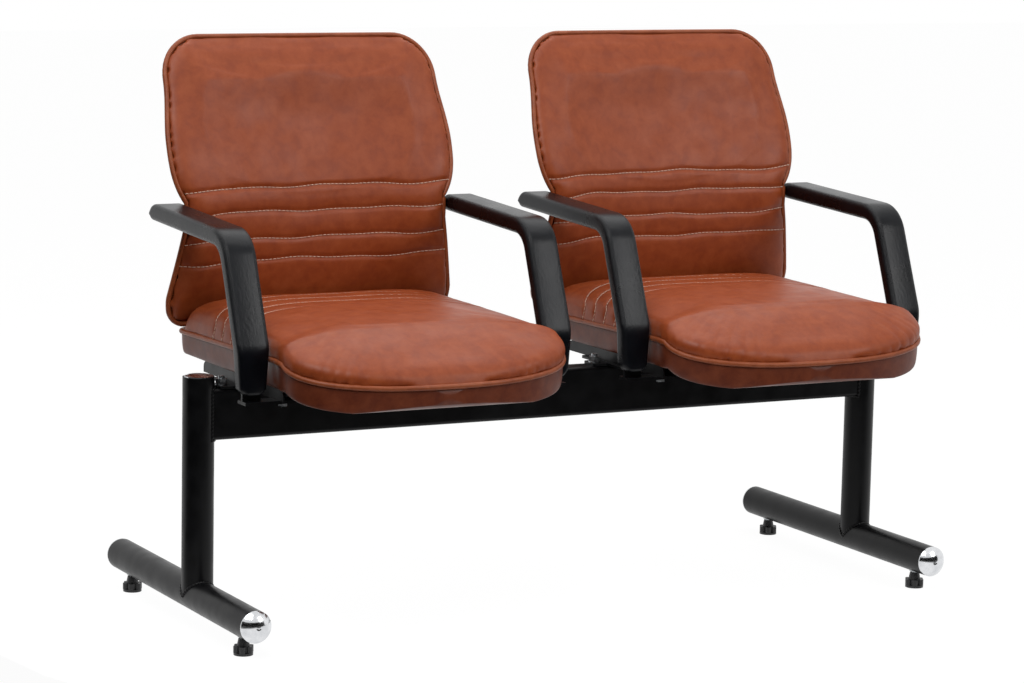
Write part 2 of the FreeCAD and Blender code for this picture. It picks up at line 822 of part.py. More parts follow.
def back_pad_section(z):
    half = back_half_width(z, back_pipe_seat)
    roll = back_roll * pad_share(z)
    edge = back_line(z) - soft_gap
    sag = back_sag(z) * (half / back_hip_half) ** 2
    reach = half - back_shoulder
    right = [Vector(half - back_shoulder * 0.1, edge - roll * 0.4, z),
             Vector(half - back_shoulder * 0.35, edge - roll * 0.72, z), Vector(reach, edge - roll * 0.9, z)]
    for share in (0.66, 0.33):
        hollow = (sag - back_crown - roll * 0.1) * (1 - share ** 2)
        right.append(Vector(reach * share, edge - roll * 0.9 + hollow, z))
    middle = Vector(0, edge + sag - roll - back_crown, z)
    left = [Vector(-point.x, point.y, point.z) for point in reversed(right)]
    return polyline(shell_row(z, half, -soft_gap) + right + [middle] + left)


def make_back_cushion(board):
    pad = Part.makeLoft([back_pad_section(z) for z in back_stations()], True, True)
    return pad.cut(board)


def back_cover_section(z):
    half = back_half_width(z, back_pipe_seat)
    depth = back_cover_depth * min(0.4 + 0.6 * min((z - back_low) / back_low_corner, 1), 2.2 * pad_share(z))
    shell = shell_row(z, half, soft_gap)
    rear = [point + Vector(0, depth, 0) for point in shell[2:-2]]
    heel = Vector(0, depth * 0.9, 0)
    cheek = Vector(0, depth * 0.55, 0)
    inner = Vector(back_shoulder * 0.6, 0, 0)
    outer = Vector(back_shoulder * 0.12, 0, 0)
    right = [shell[-1] + cheek - outer, shell[-1] + heel - inner]
    left = [shell[0] + heel + inner, shell[0] + cheek + outer]
    return polyline(shell + right + list(reversed(rear)) + left)


def make_back_cover(tools):
    cover = Part.makeLoft([back_cover_section(z) for z in back_stations()], True, True)
    for tool in tools:
        cover = cover.cut(tool)
    return cover


def back_board_section(z, grow):
    half = back_half_width(z) - back_board_inset + grow
    front = shell_row(z, half, -back_board_thickness - grow)
    rear = shell_row(z, half, grow)
    return polyline(rear + list(reversed(front)))


def make_back_board(grow=0.0):
    low = back_board_low - grow
    high = back_high - back_board_inset + grow
    stations = [low] + [z for z in back_stations() if low + 5 < z < high - 5] + [high]
    return Part.makeLoft([back_board_section(z, grow) for z in stations], True, True)


def make_back_screw(place):
    # pan-head wood screw: through the tab from behind, into the back board
    normal = tab_normal()
    start = place + normal * tab_thickness
    head = rod(back_screw_head, 2.4, start, normal)
    shank = rod(back_screw_radius, tab_thickness + back_board_thickness * 0.75, start, normal * -1)
    return head.fuse(shank)


# Assembly


def write(name, shapes):
    placed = []
    for shape in shapes:
        for solid in shape.Solids:
            copy = solid.copy()
            copy.translate(Vector(0, row_shift, 0))
            placed.append(copy)
    piece = placed[0] if len(placed) == 1 else Part.makeCompound(placed)
    piece.exportStep(f"parts/{name}.step")


row_front = -(seat_front + pipe_radius)
row_back = foot_rear + foot_dome
row_shift = -(row_front + row_back) / 2

steel = make_arm_steel()
screws = [make_back_screw(place) for place in tab_screw_places()]
screw_room = [rod(back_screw_head + 1, 6, place + tab_normal() * tab_thickness, tab_normal())
              for place in tab_screw_places()]
right_tools = [steel] + screws + screw_room
tools = right_tools + [mirrored(tool) for tool in right_tools]
board = make_back_board()
for screw in screws:
    board = board.cut(screw).cut(mirrored(screw))
cover_tools = [make_back_board(2 * soft_gap)] + tools
arm = make_arm(steel)
rail = make_rail()
pieces = {
    "seat_cushion": [make_seat_cushion()],
    "seat_skirt": [make_seat_skirt(make_seat_board(soft_gap))],
    "seat_piping": [seam_tube(seat_seam())],
    "seat_board": [make_seat_board()],
    "seat_bolts": [make_seat_bolt(*place) for place in rail_bolt_places()],
    "tee_nuts": [make_tee_nut(x, y) for x, y, z in rail_bolt_places()],
    "carrier_plate": [make_carrier()],
    "back_cushion": [make_back_cushion(make_back_board(soft_gap))],
    "back_cover": [make_back_cover(cover_tools)],
    "back_piping": [seam_tube(back_seam())],
    "back_board": [board],
    "back_screws": screws + [mirrored(screw) for screw in screws],
}
handed = {"armrest": arm, "arm_steel": steel, "rail": rail}

for chair, x in (("left", -chair_x), ("right", chair_x)):
    for name, shapes in pieces.items():
        write(f"{chair}_{name}", [moved(shape, x) for shape in shapes])
    for name, shape in handed.items():
        write(f"{chair}_{name}_b", [moved(shape, x)])
        write(f"{chair}_{name}_a", [moved(mirrored(shape), x)])

write("beam", [make_beam()])
write("beam_studs", [make_beam_stud(x) for x in nut_places()])
write("beam_washers", [make_beam_washer(x) for x in nut_places()])
write("beam_nuts", [make_beam_nut(x) for x in nut_places()])
write("post_caps", [make_post_cap(side) for side in (-1, 1)])
write("foot_caps", [make_foot_cap(side, y, way) for side in (-1, 1)
                    for y, way in ((foot_front, -1), (foot_rear, 1))])
write("glide_inserts", [make_insert(side * post_x, y) for side in (-1, 1) for y in (glide_front, glide_rear)])
for side_name, side in (("left", -1), ("right", 1)):
    write(f"post_{side_name}", [make_post(side)])
    write(f"foot_tube_{side_name}", [make_foot(side)])
    for end_name, y in (("front", glide_front), ("rear", glide_rear)):
        write(f"glide_stud_{side_name}_{end_name}", [make_stud(side * post_x, y)])
        write(f"glide_knob_{side_name}_{end_name}", [make_knob(side * post_x, y)])
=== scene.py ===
# %% [markdown]
# The object is a waiting-room bench: two upholstered chairs bolted to one steel beam between two tube legs.
# Its rigid pieces come ready made from the CAD frame and only need finishes here.
# Its soft pieces are made here: padding, seams, piping and stitching, each in the room its CAD solid holds.

# %% Load the CAD frame
import math

import bmesh
import bpy
import numpy as np
from mathutils import Matrix, Vector
from mathutils.bvhtree import BVHTree


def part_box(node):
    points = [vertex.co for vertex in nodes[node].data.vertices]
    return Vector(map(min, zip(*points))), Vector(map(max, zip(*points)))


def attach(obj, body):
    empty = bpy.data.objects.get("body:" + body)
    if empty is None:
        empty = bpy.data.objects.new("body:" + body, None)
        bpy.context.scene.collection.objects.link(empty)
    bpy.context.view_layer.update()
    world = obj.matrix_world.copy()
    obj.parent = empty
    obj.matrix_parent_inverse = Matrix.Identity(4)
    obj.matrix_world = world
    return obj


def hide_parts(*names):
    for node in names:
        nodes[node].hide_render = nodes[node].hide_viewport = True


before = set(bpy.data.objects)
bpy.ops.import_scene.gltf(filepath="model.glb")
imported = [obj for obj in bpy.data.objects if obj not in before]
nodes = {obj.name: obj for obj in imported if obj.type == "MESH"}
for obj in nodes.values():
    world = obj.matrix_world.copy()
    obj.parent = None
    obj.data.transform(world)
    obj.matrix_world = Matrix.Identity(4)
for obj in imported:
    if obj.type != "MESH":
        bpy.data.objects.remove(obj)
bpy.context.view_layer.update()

print("nodes", len(nodes))

# %% [markdown]
# The camera stands where the photographer stood: low, to the left and in front, a little over five metres
# away. A long lens keeps the two chairs nearly the same size. The angles were fitted to the photograph.

# %% Camera
MM = 0.001


def middle_of(name, axis):
    """Where the middle of a CAD node lies along x, y or z (0, 1 or 2), in metres."""
    low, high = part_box(name)
    return (low[axis] + high[axis]) / 2


chair_spacing = 660 * MM
row_shift = middle_of("post_caps", 1)
view_azimuth = math.radians(-27.586)
view_elevation = math.radians(8.55)
view_roll = math.radians(1.187)
view_distance = 5396.03 * MM
focal_pixels = 3333.52
picture_width = 1024
sensor_width = 36
view_target = Vector((-65.04 * MM, row_shift, 424.68 * MM))

backwards = Vector((math.sin(view_azimuth) * math.cos(view_elevation),
                    -math.cos(view_azimuth) * math.cos(view_elevation),
                    math.sin(view_elevation)))
camera = bpy.data.objects.new("camera", bpy.data.cameras.new("camera"))
bpy.context.scene.collection.objects.link(camera)
camera.data.sensor_width = sensor_width
camera.data.lens = focal_pixels * sensor_width / picture_width
camera.data.clip_end = 50
place = view_target + backwards * view_distance
facing = backwards.to_track_quat("Z", "Y").to_matrix().to_4x4() @ Matrix.Rotation(view_roll, 4, "Z")
camera.matrix_world = Matrix.Translation(place) @ facing
bpy.context.scene.camera = camera
print("camera at", [round(value, 3) for value in place])

# %% [markdown]
# A finish starts as a small tree of nodes. One function adds a node with its settings and its links.
# Another turns the sRGB colours that a designer reads from a screen into the linear ones that light needs.
# The rest are the parts that every finish shares: a cloudy pattern, paint that follows it and is lighter at
# sharp edges as a painted edge highlight, a shine that drifts, and a fine emboss.

# %% Helpers for finishes


def linear(code):
    values = [int(code[index:index + 2], 16) / 255 for index in (1, 3, 5)]
    parts = [value / 12.92 if value <= 0.04045 else ((value + 0.055) / 1.055) ** 2.4 for value in values]
    return (*parts, 1.0)


def add_node(tree, kind, settings=None, links=None):
    """Adds a node. Settings name a socket or a property; links give a named or numbered input its source."""
    node = tree.nodes.new(kind)
    for name, value in (settings or {}).items():
        if name in node.inputs:
            node.inputs[name].default_value = value
        else:
            setattr(node, name, value)
    for name, source in (links or {}).items():
        tree.links.new(source, node.inputs[name])
    return node


def new_finish(name, constants=None):
    """A material with one surface node, whose constants are set here, and the place on the object."""
    material = bpy.data.materials.new(name)
    material.use_nodes = True
    tree = material.node_tree
    tree.nodes.clear()
    surface = add_node(tree, "ShaderNodeBsdfPrincipled", constants)
    add_node(tree, "ShaderNodeOutputMaterial", None, {"Surface": surface.outputs["BSDF"]})
    place_on_object = add_node(tree, "ShaderNodeTexCoord").outputs["Object"]
    return material, tree, surface, place_on_object


def pattern(tree, place, scale, detail, **more):
    """Noise over the object, with its clouds about one metre divided by the scale apart."""
    return add_node(tree, "ShaderNodeTexNoise", {"Scale": scale, "Detail": detail, **more},
                    {"Vector": place}).outputs["Fac"]


def paint(tree, surface, factor, stops, edge_highlight=None, width=0.0):
    """Colours that follow a pattern. A paler colour is painted in as an edge highlight at edges that turn
    within the width.
    """
    ramp = add_node(tree, "ShaderNodeValToRGB", links={"Fac": factor})
    elements = ramp.color_ramp.elements
    while len(elements) < len(stops):
        elements.new(0.5)
    for element, (position, code) in zip(elements, stops):
        element.position = position
        element.color = linear(code)
    colour = ramp.outputs["Color"]
    # Sharp edges get a paler colour here: a painted edge highlight.
    if edge_highlight:
        colour = edge_highlight_mix(tree, colour, edge_highlight, width)
    tree.links.new(colour, surface.inputs["Base Color"])


def edge_highlight_mix(tree, inside, highlight_colour, radius):
    """Mixes in a second, paler colour where the surface turns sharply: a painted edge highlight."""
    rounded = add_node(tree, "ShaderNodeBevel", {"samples": 4, "Radius": radius}).outputs["Normal"]
    plain = add_node(tree, "ShaderNodeNewGeometry").outputs["Normal"]
    apart = add_node(tree, "ShaderNodeVectorMath", {"operation": "DOT_PRODUCT"}, {0: rounded, 1: plain})
    edge = add_node(tree, "ShaderNodeMapRange", {"From Min": 0.995, "From Max": 0.9, "To Max": 0.5},
                    {"Value": apart.outputs["Value"]})
    mixed = add_node(tree, "ShaderNodeMix", {"data_type": "RGBA"}, {0: edge.outputs["Result"], 6: inside})
    mixed.inputs[7].default_value = linear(highlight_colour)
    return mixed.outputs[2]


def shine(tree, surface, factor, smooth, rough):
    """Lets the roughness drift with a pattern, because no real surface is equally smooth all over."""
    drift = add_node(tree, "ShaderNodeMapRange",
                     {"From Min": 0.3, "From Max": 0.7, "To Min": smooth, "To Max": rough}, {"Value": factor})
    tree.links.new(drift.outputs["Result"], surface.inputs["Roughness"])


def emboss(tree, surface, *layers):
    """Bumps laid over one another, each with its pattern, its strength and its depth in metres."""
    links = {}
    for height, strength, depth in layers:
        links["Height"] = height
        bump = add_node(tree, "ShaderNodeBump", {"Strength": strength, "Distance": depth}, links)
        links["Normal"] = bump.outputs["Normal"]
    tree.links.new(links["Normal"], surface.inputs["Normal"])


# %% [markdown]
# The covers are leatherette: PVC film embossed with a leather grain on a knitted backing, waxed to a satin
# shine. The film is printed in browns that cloud into each other over about two centimetres, and the emboss
# is a millimetre or two from pore to pore: a Voronoi bump under one of finer creases. The shine drifts over
# patches of four or five centimetres, so that a highlight on the cover is never quite even.

# %% Leatherette


def make_leatherette(name, dark, middle, light, roughness):
    material, tree, surface, place = new_finish(name, {"IOR": 1.5, "Specular IOR Level": 0.28})
    clouds = pattern(tree, place, 48.0, 5.0, Roughness=0.6, Distortion=0.3)
    paint(tree, surface, clouds, [(0.34, dark), (0.5, middle), (0.68, light)])
    pores = add_node(tree, "ShaderNodeTexVoronoi", {"feature": "DISTANCE_TO_EDGE", "Scale": 700.0},
                     {"Vector": place}).outputs["Distance"]
    creases = pattern(tree, place, 260.0, 3.0)
    emboss(tree, surface, (pores, 0.10, 0.0004), (creases, 0.16, 0.0006))
    patches = pattern(tree, place, 22.0, 3.0)
    shine(tree, surface, patches, roughness - 0.05, roughness + 0.07)
    return material


tan_cover = make_leatherette("pvc_leatherette_tan_embossed", "#813717", "#893D1A", "#914420", 0.44)
# The band's cover is the tan leatherette painted darker: painted shade, because the band faces forward under
# the seat's rim.
band_cover_shaded = make_leatherette("pvc_leatherette_tan_darkened_shade", "#552312", "#5F2A16", "#69311B", 0.42)
welt_cover = make_leatherette("pvc_leatherette_welt_folded", "#7C3A1C", "#874322", "#934D2C", 0.42)
print("leatherette finishes", tan_cover.name, band_cover_shaded.name, welt_cover.name)

# %% [markdown]
# The frame is mild steel, shot-blasted and powder coated in semi-gloss black. Powder flows out with a faint
# orange peel a few millimetres across. The arms are integral-skin polyurethane foam, moulded against a
# grained tool, so they carry fine lengthwise lines that spread their highlights. The glide knobs are
# moulded nylon, a little greyer and duller than the coat.

# %% Black powder coat, black foam and black nylon


def make_powder_coat():
    material, tree, surface, place = new_finish("mild_steel_powder_coated_black",
                                                {"IOR": 1.5, "Specular IOR Level": 0.18})
    speckle = pattern(tree, place, 35.0, 4.0)
    # The paler colour at the edges is a painted edge highlight.
    paint(tree, surface, speckle, [(0.3, "#040405"), (0.7, "#0A0A0C")], "#18181C", 0.0012)
    emboss(tree, surface, (pattern(tree, place, 420.0, 1.0), 0.12, 0.0003))
    shine(tree, surface, speckle, 0.30, 0.42)
    return material


def make_arm_foam():
    material, tree, surface, place = new_finish("polyurethane_integral_skin_moulded_black",
                                                {"IOR": 1.49, "Specular IOR Level": 0.18})
    clouds = pattern(tree, place, 14.0, 3.0)
    # The paler, bluish colour at the edges is a painted edge highlight.
    paint(tree, surface, clouds, [(0.3, "#040508"), (0.7, "#090B10")], "#20232B", 0.002)
    along = add_node(tree, "ShaderNodeUVMap", {"uv_map": "UVMap"}).outputs["UV"]
    lines = add_node(tree, "ShaderNodeMapping", {"Scale": (1500.0, 90.0, 1.0)}, {"Vector": along})
    grain = pattern(tree, lines.outputs["Vector"], 1.0, 4.0, Roughness=0.6)
    emboss(tree, surface, (grain, 0.55, 0.0007))
    shine(tree, surface, clouds, 0.25, 0.33)
    return material


def make_nylon():
    material, tree, surface, place = new_finish("nylon_moulded_black", {"Roughness": 0.45, "IOR": 1.53})
    mottle = pattern(tree, place, 120.0, 3.0)
    # The paler colour at the edges is a painted edge highlight.
    paint(tree, surface, mottle, [(0.3, "#0D0D0F"), (0.7, "#18181A")], "#2C2C30", 0.001)
    emboss(tree, surface, (mottle, 0.1, 0.0003))
    return material


powder_coat = make_powder_coat()
arm_foam = make_arm_foam()
nylon = make_nylon()
print("black finishes", powder_coat.name, arm_foam.name, nylon.name)

# %% [markdown]
# The tube caps are pressed steel with bright chrome. The screws, bolts, nuts and washers are zinc plated,
# which is duller and faintly mottled. The boards inside the cushions are beech plywood, with its fibres drawn
# out along the board. The thread is twisted polyester: pale, matt and a little furry.

# %% Chrome, zinc, plywood and thread


def make_metal(name, dark, light, scale, smooth, rough):
    material, tree, surface, place = new_finish(name, {"Metallic": 1.0})
    haze = pattern(tree, place, scale, 4.0)
    paint(tree, surface, haze, [(0.3, dark), (0.7, light)])
    shine(tree, surface, haze, smooth, rough)
    emboss(tree, surface, (haze, 0.05, 0.0002))
    return material


def make_plywood():
    material, tree, surface, place = new_finish("beech_plywood_sanded", {"Roughness": 0.6})
    stretched = add_node(tree, "ShaderNodeMapping", {"Scale": (6.0, 70.0, 220.0)}, {"Vector": place})
    fibres = pattern(tree, stretched.outputs["Vector"], 1.0, 5.0)
    paint(tree, surface, fibres, [(0.3, "#B98E5C"), (0.7, "#D9B484")])
    emboss(tree, surface, (fibres, 0.2, 0.0004))
    return material


def make_thread():
    material, tree, surface, place = new_finish("polyester_thread_twisted_beige",
                                                {"Roughness": 0.7, "Sheen Weight": 0.3})
    twist = add_node(tree, "ShaderNodeTexWave", {"Scale": 900.0, "Distortion": 1.0}, {"Vector": place})
    paint(tree, surface, twist.outputs["Fac"], [(0.2, "#BC9681"), (0.8, "#E2C3AF")])
    return material


chrome = make_metal("steel_pressed_chrome_plated", "#C9CBCE", "#E6E7E9", 60.0, 0.10, 0.20)
zinc = make_metal("steel_zinc_plated", "#9FA3A6", "#C4C7C9", 240.0, 0.28, 0.42)
plywood = make_plywood()
thread = make_thread()

finish_by_ending = {
    "armrest_a": arm_foam, "armrest_b": arm_foam, "arm_steel_a": powder_coat, "arm_steel_b": powder_coat,
    "rail_a": powder_coat, "rail_b": powder_coat, "carrier_plate": powder_coat, "seat_board": plywood,
    "back_board": plywood, "seat_bolts": zinc, "tee_nuts": zinc, "back_screws": zinc, "beam_studs": zinc,
    "beam_washers": zinc, "beam_nuts": zinc, "post_caps": chrome, "foot_caps": chrome, "glide_inserts": zinc,
}
finish_by_start = {
    "beam": powder_coat, "post_": powder_coat, "foot_tube": powder_coat, "glide_stud": zinc,
    "glide_knob": nylon,
}


def finish_for(name):
    for ending, finish in finish_by_ending.items():
        if name.endswith(ending):
            return finish
    for start, finish in finish_by_start.items():
        if name.startswith(start):
            return finish
    return tan_cover


for name, node in nodes.items():
    for slot in node.material_slots:
        slot.material = finish_for(name)
print("finished CAD nodes", len(nodes))

# %% [markdown]
# The soft pieces repeat the formulas of the CAD source. Their sizes are millimetres around the beam line,
# and one function turns such a point into the frame's metres, for the left chair (-1) or the right one (1).
# An inset moves an outline in from the seam, and a negative one tucks the padding under its piping.

# %% Sizes of the upholstery
pipe_radius = 4.2
soft_gap = 0.3
skin_inset = pipe_radius * 0.1
pad_inset = -1.5
back_pad_inset = -2.5
seat_side = 227.3
seat_nose = 234.0
seat_rear = 230.0
seat_front = 311.0
nose_power = 2.35
seat_bend = 215.0
nose_blend = 45.0
nose_fall = 0.82
seat_corner = 34.0
seam_high = 446.0
seam_rear_drop = 9.0
seam_front_drop = 32.0
seat_crown = 55.0
dome_rear = 190.0
tongue_height = 2.4
band_height = 41.0
rail_top = 401.0
back_low = 447.0
back_high = 904.0
back_foot_half = 245.0
back_hip_half = 249.0
back_hip_z = 490.0
back_waist_z = 627.0
back_waist_half = 227.5
waist_low = 608.0
waist_high = 646.0
back_shoulder_half = 248.0
back_shoulder_z = 736.0
back_top_half = 238.0
back_waist_y = 183.5
back_top_slope = 0.45
back_top_blend = 70
back_foot_slope = 0.25
back_foot_blend = 60
back_top_corner = 66.0
back_low_corner = 26.0
back_hollow = 34.0
back_hollow_fall = 0.7
back_roll = 20.0
back_cover_depth = 15.0
nose_length = seat_front - seat_bend
back_corner_z = back_high - back_top_corner
pull_width = 15.0


def placed(point, chair):
    return Vector((point[0] * MM + chair * chair_spacing / 2, point[1] * MM + row_shift, point[2] * MM))


def smooth_step(value):
    value = min(max(value, 0.0), 1.0)
    return value * value * (3 - 2 * value)


def bell(distance, width):
    """One in the middle, fading to nothing on both sides."""
    return math.exp(-(distance / width) ** 2)


def drawn_in(distances, depth, width, pull_depth):
    """How deep sewn lines at these distances draw the cover in: a valley each, and a wide pull round it."""
    return sum(depth * bell(gap, width) + pull_depth * bell(gap, pull_width) for gap in distances)


def between(first, last, share):
    return first + (last - first) * share


def seam_height(y):
    if y > -seat_bend:
        return seam_high - seam_rear_drop * (y + seat_bend) / (seat_rear + seat_bend)
    return seam_high - seam_front_drop * min((-seat_bend - y) / nose_length, 1.0) ** nose_fall


def seat_half(y, inset=0.0):
    """Half the seat's width at y, for its seam or for a line that lies inset within the seam."""
    side = seat_nose - (seat_nose - seat_side) * smooth_step((y + seat_bend) / nose_blend) - inset
    corner_radius = seat_corner - inset
    corner = y - (seat_rear - seat_corner)
    if corner > 0:
        return side - corner_radius + math.sqrt(max(corner_radius ** 2 - corner ** 2, 0))
    if y > -seat_bend:
        return side
    reach = min((-seat_bend - y) / (seat_front - inset - seat_bend), 1.0)
    return side * (1 - reach ** nose_power) ** (1 / nose_power)


def back_line(z):
    """How far to the rear the middle of the back lies at height z."""
    rise = z - back_waist_z
    if rise > 0:
        return back_waist_y + back_top_slope * (math.hypot(rise, back_top_blend) - back_top_blend)
    return back_waist_y + back_foot_slope * (math.hypot(rise, back_foot_blend) - back_foot_blend)


def back_half_width(z, inset=0.0):
    if z < back_hip_z:
        full = between(back_foot_half, back_hip_half, smooth_step((z - back_low) / (back_hip_z - back_low)))
    elif z < waist_low:
        full = between(back_hip_half, back_waist_half, (z - back_hip_z) / (waist_low - back_hip_z))
    elif z < waist_high:
        full = back_waist_half
    elif z < back_shoulder_z:
        reach = (z - waist_high) / (back_shoulder_z - waist_high)
        full = between(back_shoulder_half, back_waist_half, (1 - reach) ** 3)
    else:
        reach = (z - back_shoulder_z) / (back_corner_z - back_shoulder_z)
        full = between(back_shoulder_half, back_top_half, smooth_step(reach))
    full -= inset
    into_top = z - back_corner_z
    into_foot = back_low + back_low_corner - z
    for radius, reach in ((back_top_corner, into_top), (back_low_corner, into_foot)):
        if reach > 0:
            corner = radius - inset
            full -= corner - math.sqrt(max(corner ** 2 - reach ** 2, 0))
    return full


def back_sag(z):
    """How deep the back is hollowed from side to side at height z."""
    fall_start = (back_waist_z + back_high) / 2
    fall = smooth_step((z - fall_start) / (back_high - fall_start))
    rise = smooth_step((z - back_low) / (back_waist_z - back_low))
    return back_hollow * rise * (1 - back_hollow_fall * fall)


print("seat seam", round(2 * seat_half(0)), "mm wide, back seam", round(2 * back_half_width(740)), "mm wide")

# %% [markdown]
# A soft piece starts as a closed skin: rings of points around the piece, joined into quads, with a fan at
# each end. Every ring has the same number of points, so two neighbours always match.

# %% Skin from rings


def shown(name, data):
    piece = bpy.data.objects.new(name, data)
    bpy.context.scene.collection.objects.link(piece)
    return piece


def shown_from(mesh, name):
    """The finished build mesh as an object, with its faces turned outward."""
    bmesh.ops.recalc_face_normals(mesh, faces=mesh.faces)
    data = bpy.data.meshes.new(name)
    mesh.to_mesh(data)
    mesh.free()
    return shown(name, data)


def join_rings(mesh, first, second):
    count = len(first)
    for index in range(count):
        following = (index + 1) % count
        mesh.faces.new((first[index], first[following], second[following], second[index]))


def skin_from_rings(name, rings, chair):
    mesh = bmesh.new()
    grid = [[mesh.verts.new(placed(point, chair)) for point in ring] for ring in rings]
    count = len(rings[0])
    for first, second in zip(grid, grid[1:]):
        join_rings(mesh, first, second)
    for ring in (grid[0], grid[-1]):
        middle = mesh.verts.new(sum((vertex.co for vertex in ring), Vector()) / count)
        for index in range(count):
            mesh.faces.new((ring[index], ring[(index + 1) % count], middle))
    bmesh.ops.remove_doubles(mesh, verts=mesh.verts, dist=1e-5)
    return shown_from(mesh, name)


def spread(first, last, count, ease=0.0):
    """Steps from first to last; with ease they crowd towards both ends."""
    steps = []
    for index in range(count):
        share = index / (count - 1)
        crowded = (1 - math.cos(math.pi * share)) / 2
        steps.append(first + (last - first) * (share * (1 - ease) + crowded * ease))
    return steps


def finish_piece(piece, material, *replaced, pad=None):
    """Gives the piece its finish, its body and what it replaces; pad is not used."""
    piece.data.materials.clear()
    piece.data.materials.append(material)
    for polygon in piece.data.polygons:
        polygon.use_smooth = True
    if replaced:
        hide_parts(*replaced)
    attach(piece, "bench")
    print(piece.name, len(piece.data.polygons), "faces")


# %% [markdown]
# Foam under a stretched cover bulges wherever nothing holds it down. Blender's cloth does this: the skin is
# remeshed to an even grid, the seams are held, and pressure swells the rest for fourteen frames. The travel
# is averaged with its neighbours and capped, because foam hides small creases and a cover hardly stretches.
# Each kind of pad is swollen once, and its shape is copied to both chairs before their own wrinkles go in.

# %% Swelling by cloth simulation
swelling_frames = 14
swelling_pressure = 4.0
easing_rounds = 14
grid_step = 6 * MM


def read_points(data):
    flat = np.empty(len(data.vertices) * 3)
    data.vertices.foreach_get("co", flat)
    return flat.reshape(-1, 3)


def write_points(data, points):
    data.vertices.foreach_set("co", points.reshape(-1))
    data.update()


def copy_for_chair(piece, name, chair):
    data = piece.data.copy()
    data.name = name
    write_points(data, read_points(data) + np.array((chair * chair_spacing / 2, 0, 0)))
    return shown(name, data)


def as_mesh(piece):
    """The piece's mesh with its modifiers applied."""
    bpy.context.view_layer.update()
    return bpy.data.meshes.new_from_object(piece.evaluated_get(bpy.context.evaluated_depsgraph_get()))


def take_modifiers_in(piece):
    data = as_mesh(piece)
    piece.modifiers.clear()
    piece.data = data


def eased(data, move, rounds):
    """Averages each point's travel with that of its neighbours, for a number of rounds."""
    ends = np.empty(len(data.edges) * 2, dtype=int)
    data.edges.foreach_get("vertices", ends)
    first, second = ends.reshape(-1, 2).T
    count = np.bincount(ends, minlength=len(move))[:, None]
    for step in range(rounds):
        total = np.zeros_like(move)
        np.add.at(total, first, move[second])
        np.add.at(total, second, move[first])
        move = (move + total / count) / 2
    return move


def swell(piece, is_held, travel):
    """Blows the piece up where it is not held, by no more than the travel."""
    remesh = piece.modifiers.new("even grid", "REMESH")
    remesh.mode = "VOXEL"
    remesh.voxel_size = grid_step
    take_modifiers_in(piece)
    start = read_points(piece.data)
    held = piece.vertex_groups.new(name="held")
    held.add([index for index, point in enumerate(start) if is_held(point)], 1.0, "REPLACE")
    cloth = piece.modifiers.new("cover", "CLOTH")
    cloth.settings.vertex_group_mass = held.name
    cloth.settings.use_pressure = True
    cloth.settings.uniform_pressure_force = swelling_pressure
    cloth.settings.effector_weights.gravity = 0
    cloth.point_cache.frame_start = 1
    cloth.point_cache.frame_end = swelling_frames
    for frame_number in range(1, swelling_frames + 1):
        bpy.context.scene.frame_set(frame_number)
    swollen = read_points(as_mesh(piece))
    piece.modifiers.clear()
    bpy.context.scene.frame_set(1)
    move = eased(piece.data, swollen - start, easing_rounds)
    length = np.linalg.norm(move, axis=1)
    print(piece.name, "points travel up to", round(length.max() / MM, 1), "mm before the cap")
    move *= (np.minimum(length, travel) / np.maximum(length, 1e-9))[:, None]
    write_points(piece.data, start + move)
    piece.vertex_groups.clear()
    finer = piece.modifiers.new("finer", "SUBSURF")
    finer.levels = finer.render_levels = 1
    take_modifiers_in(piece)


# %% [markdown]
# The seat's padding is a full dome. Seen from the front it stands up almost straight from the seam and is
# flat on top; seen from the side it rolls down long and soft to the knees and drops short against the back.
# Both curves are superellipses: ovals whose corners are squarer the higher their power. Each sewn line is
# given by where it crosses the middle of the seat and where it ends at the sides.

# %% Seat padding
seat_lines = ((150, 66), (115, 31), (75, -5), (35, -40))
dome_power = 4.6
dome_tilt = 0.0006
dome_rear_start = 150.0
dome_rear_power = 3
dome_rear_round = 2.2
dome_front_start = -140.0
dome_front = -310.5
dome_front_power = 3.6
dome_front_round = 2.5
seat_lift = 0.97
seat_travel = 5 * MM
held_beside_line = 3.5
seat_valley_width = 4.2
seat_valley_depth = 1.9
seat_pull_depth = 0.6
gather_pitch = 3.6
gather_depth = 1.9
gather_reach = 24.0
overhang_depth = 3.2
overhang_rise = 20.0


def dome_share(y):
    """How much of its full height the dome has at y."""
    if y > dome_rear_start:
        reach = min((y - dome_rear_start) / (dome_rear - dome_rear_start), 1.0)
        return (1 - reach ** dome_rear_power) ** (1 / dome_rear_round)
    reach = min(max((dome_front_start - y) / (dome_front_start - dome_front), 0.0), 1.0)
    return (1 - reach ** dome_front_power) ** (1 / dome_front_round)


def seat_rings():
    rings = []
    for y in spread(seat_rear - pad_inset - 0.3, -seat_front + pad_inset + 0.3, 110, 0.75):
        half = seat_half(y, pad_inset)
        base = seam_height(y)
        rise = max(seat_crown * dome_share(y) * (1 + dome_tilt * y) * seat_lift, tongue_height)
        top = []
        for turn in spread(0, math.pi, 61):
            across = math.copysign(abs(math.cos(turn)) ** (2 / dome_power), math.cos(turn))
            top.append((-half * across, y, base + rise * max(math.sin(turn), 0.0) ** (2 / dome_power)))
        under = [(half * share, y, base - 0.5) for share in spread(0.97, -0.97, 31)]
        rings.append(top + under)
    return rings


def local(point, chair):
    """Millimetres around the chair's middle and the beam line, from the frame's metres."""
    return ((point[0] - chair * chair_spacing / 2) / MM, (point[1] - row_shift) / MM, point[2] / MM)


def seat_line_y(line, x):
    middle, side = line
    return middle - (middle - side) * (abs(x) / seat_side) ** 3


def seat_is_held(point):
    x, y, z = local(point, 0)
    low = z < seam_height(y) + 5
    beside_arm = abs(x) > seat_side - 4 and y > -195
    on_line = any(abs(y - seat_line_y(line, x)) < held_beside_line for line in seat_lines)
    return low or beside_arm or on_line


def round_the_nose(x, y):
    """Millimetres along the front of the seat, as the gathers and puckers are counted."""
    return math.atan2(x, -y - 120) * 150


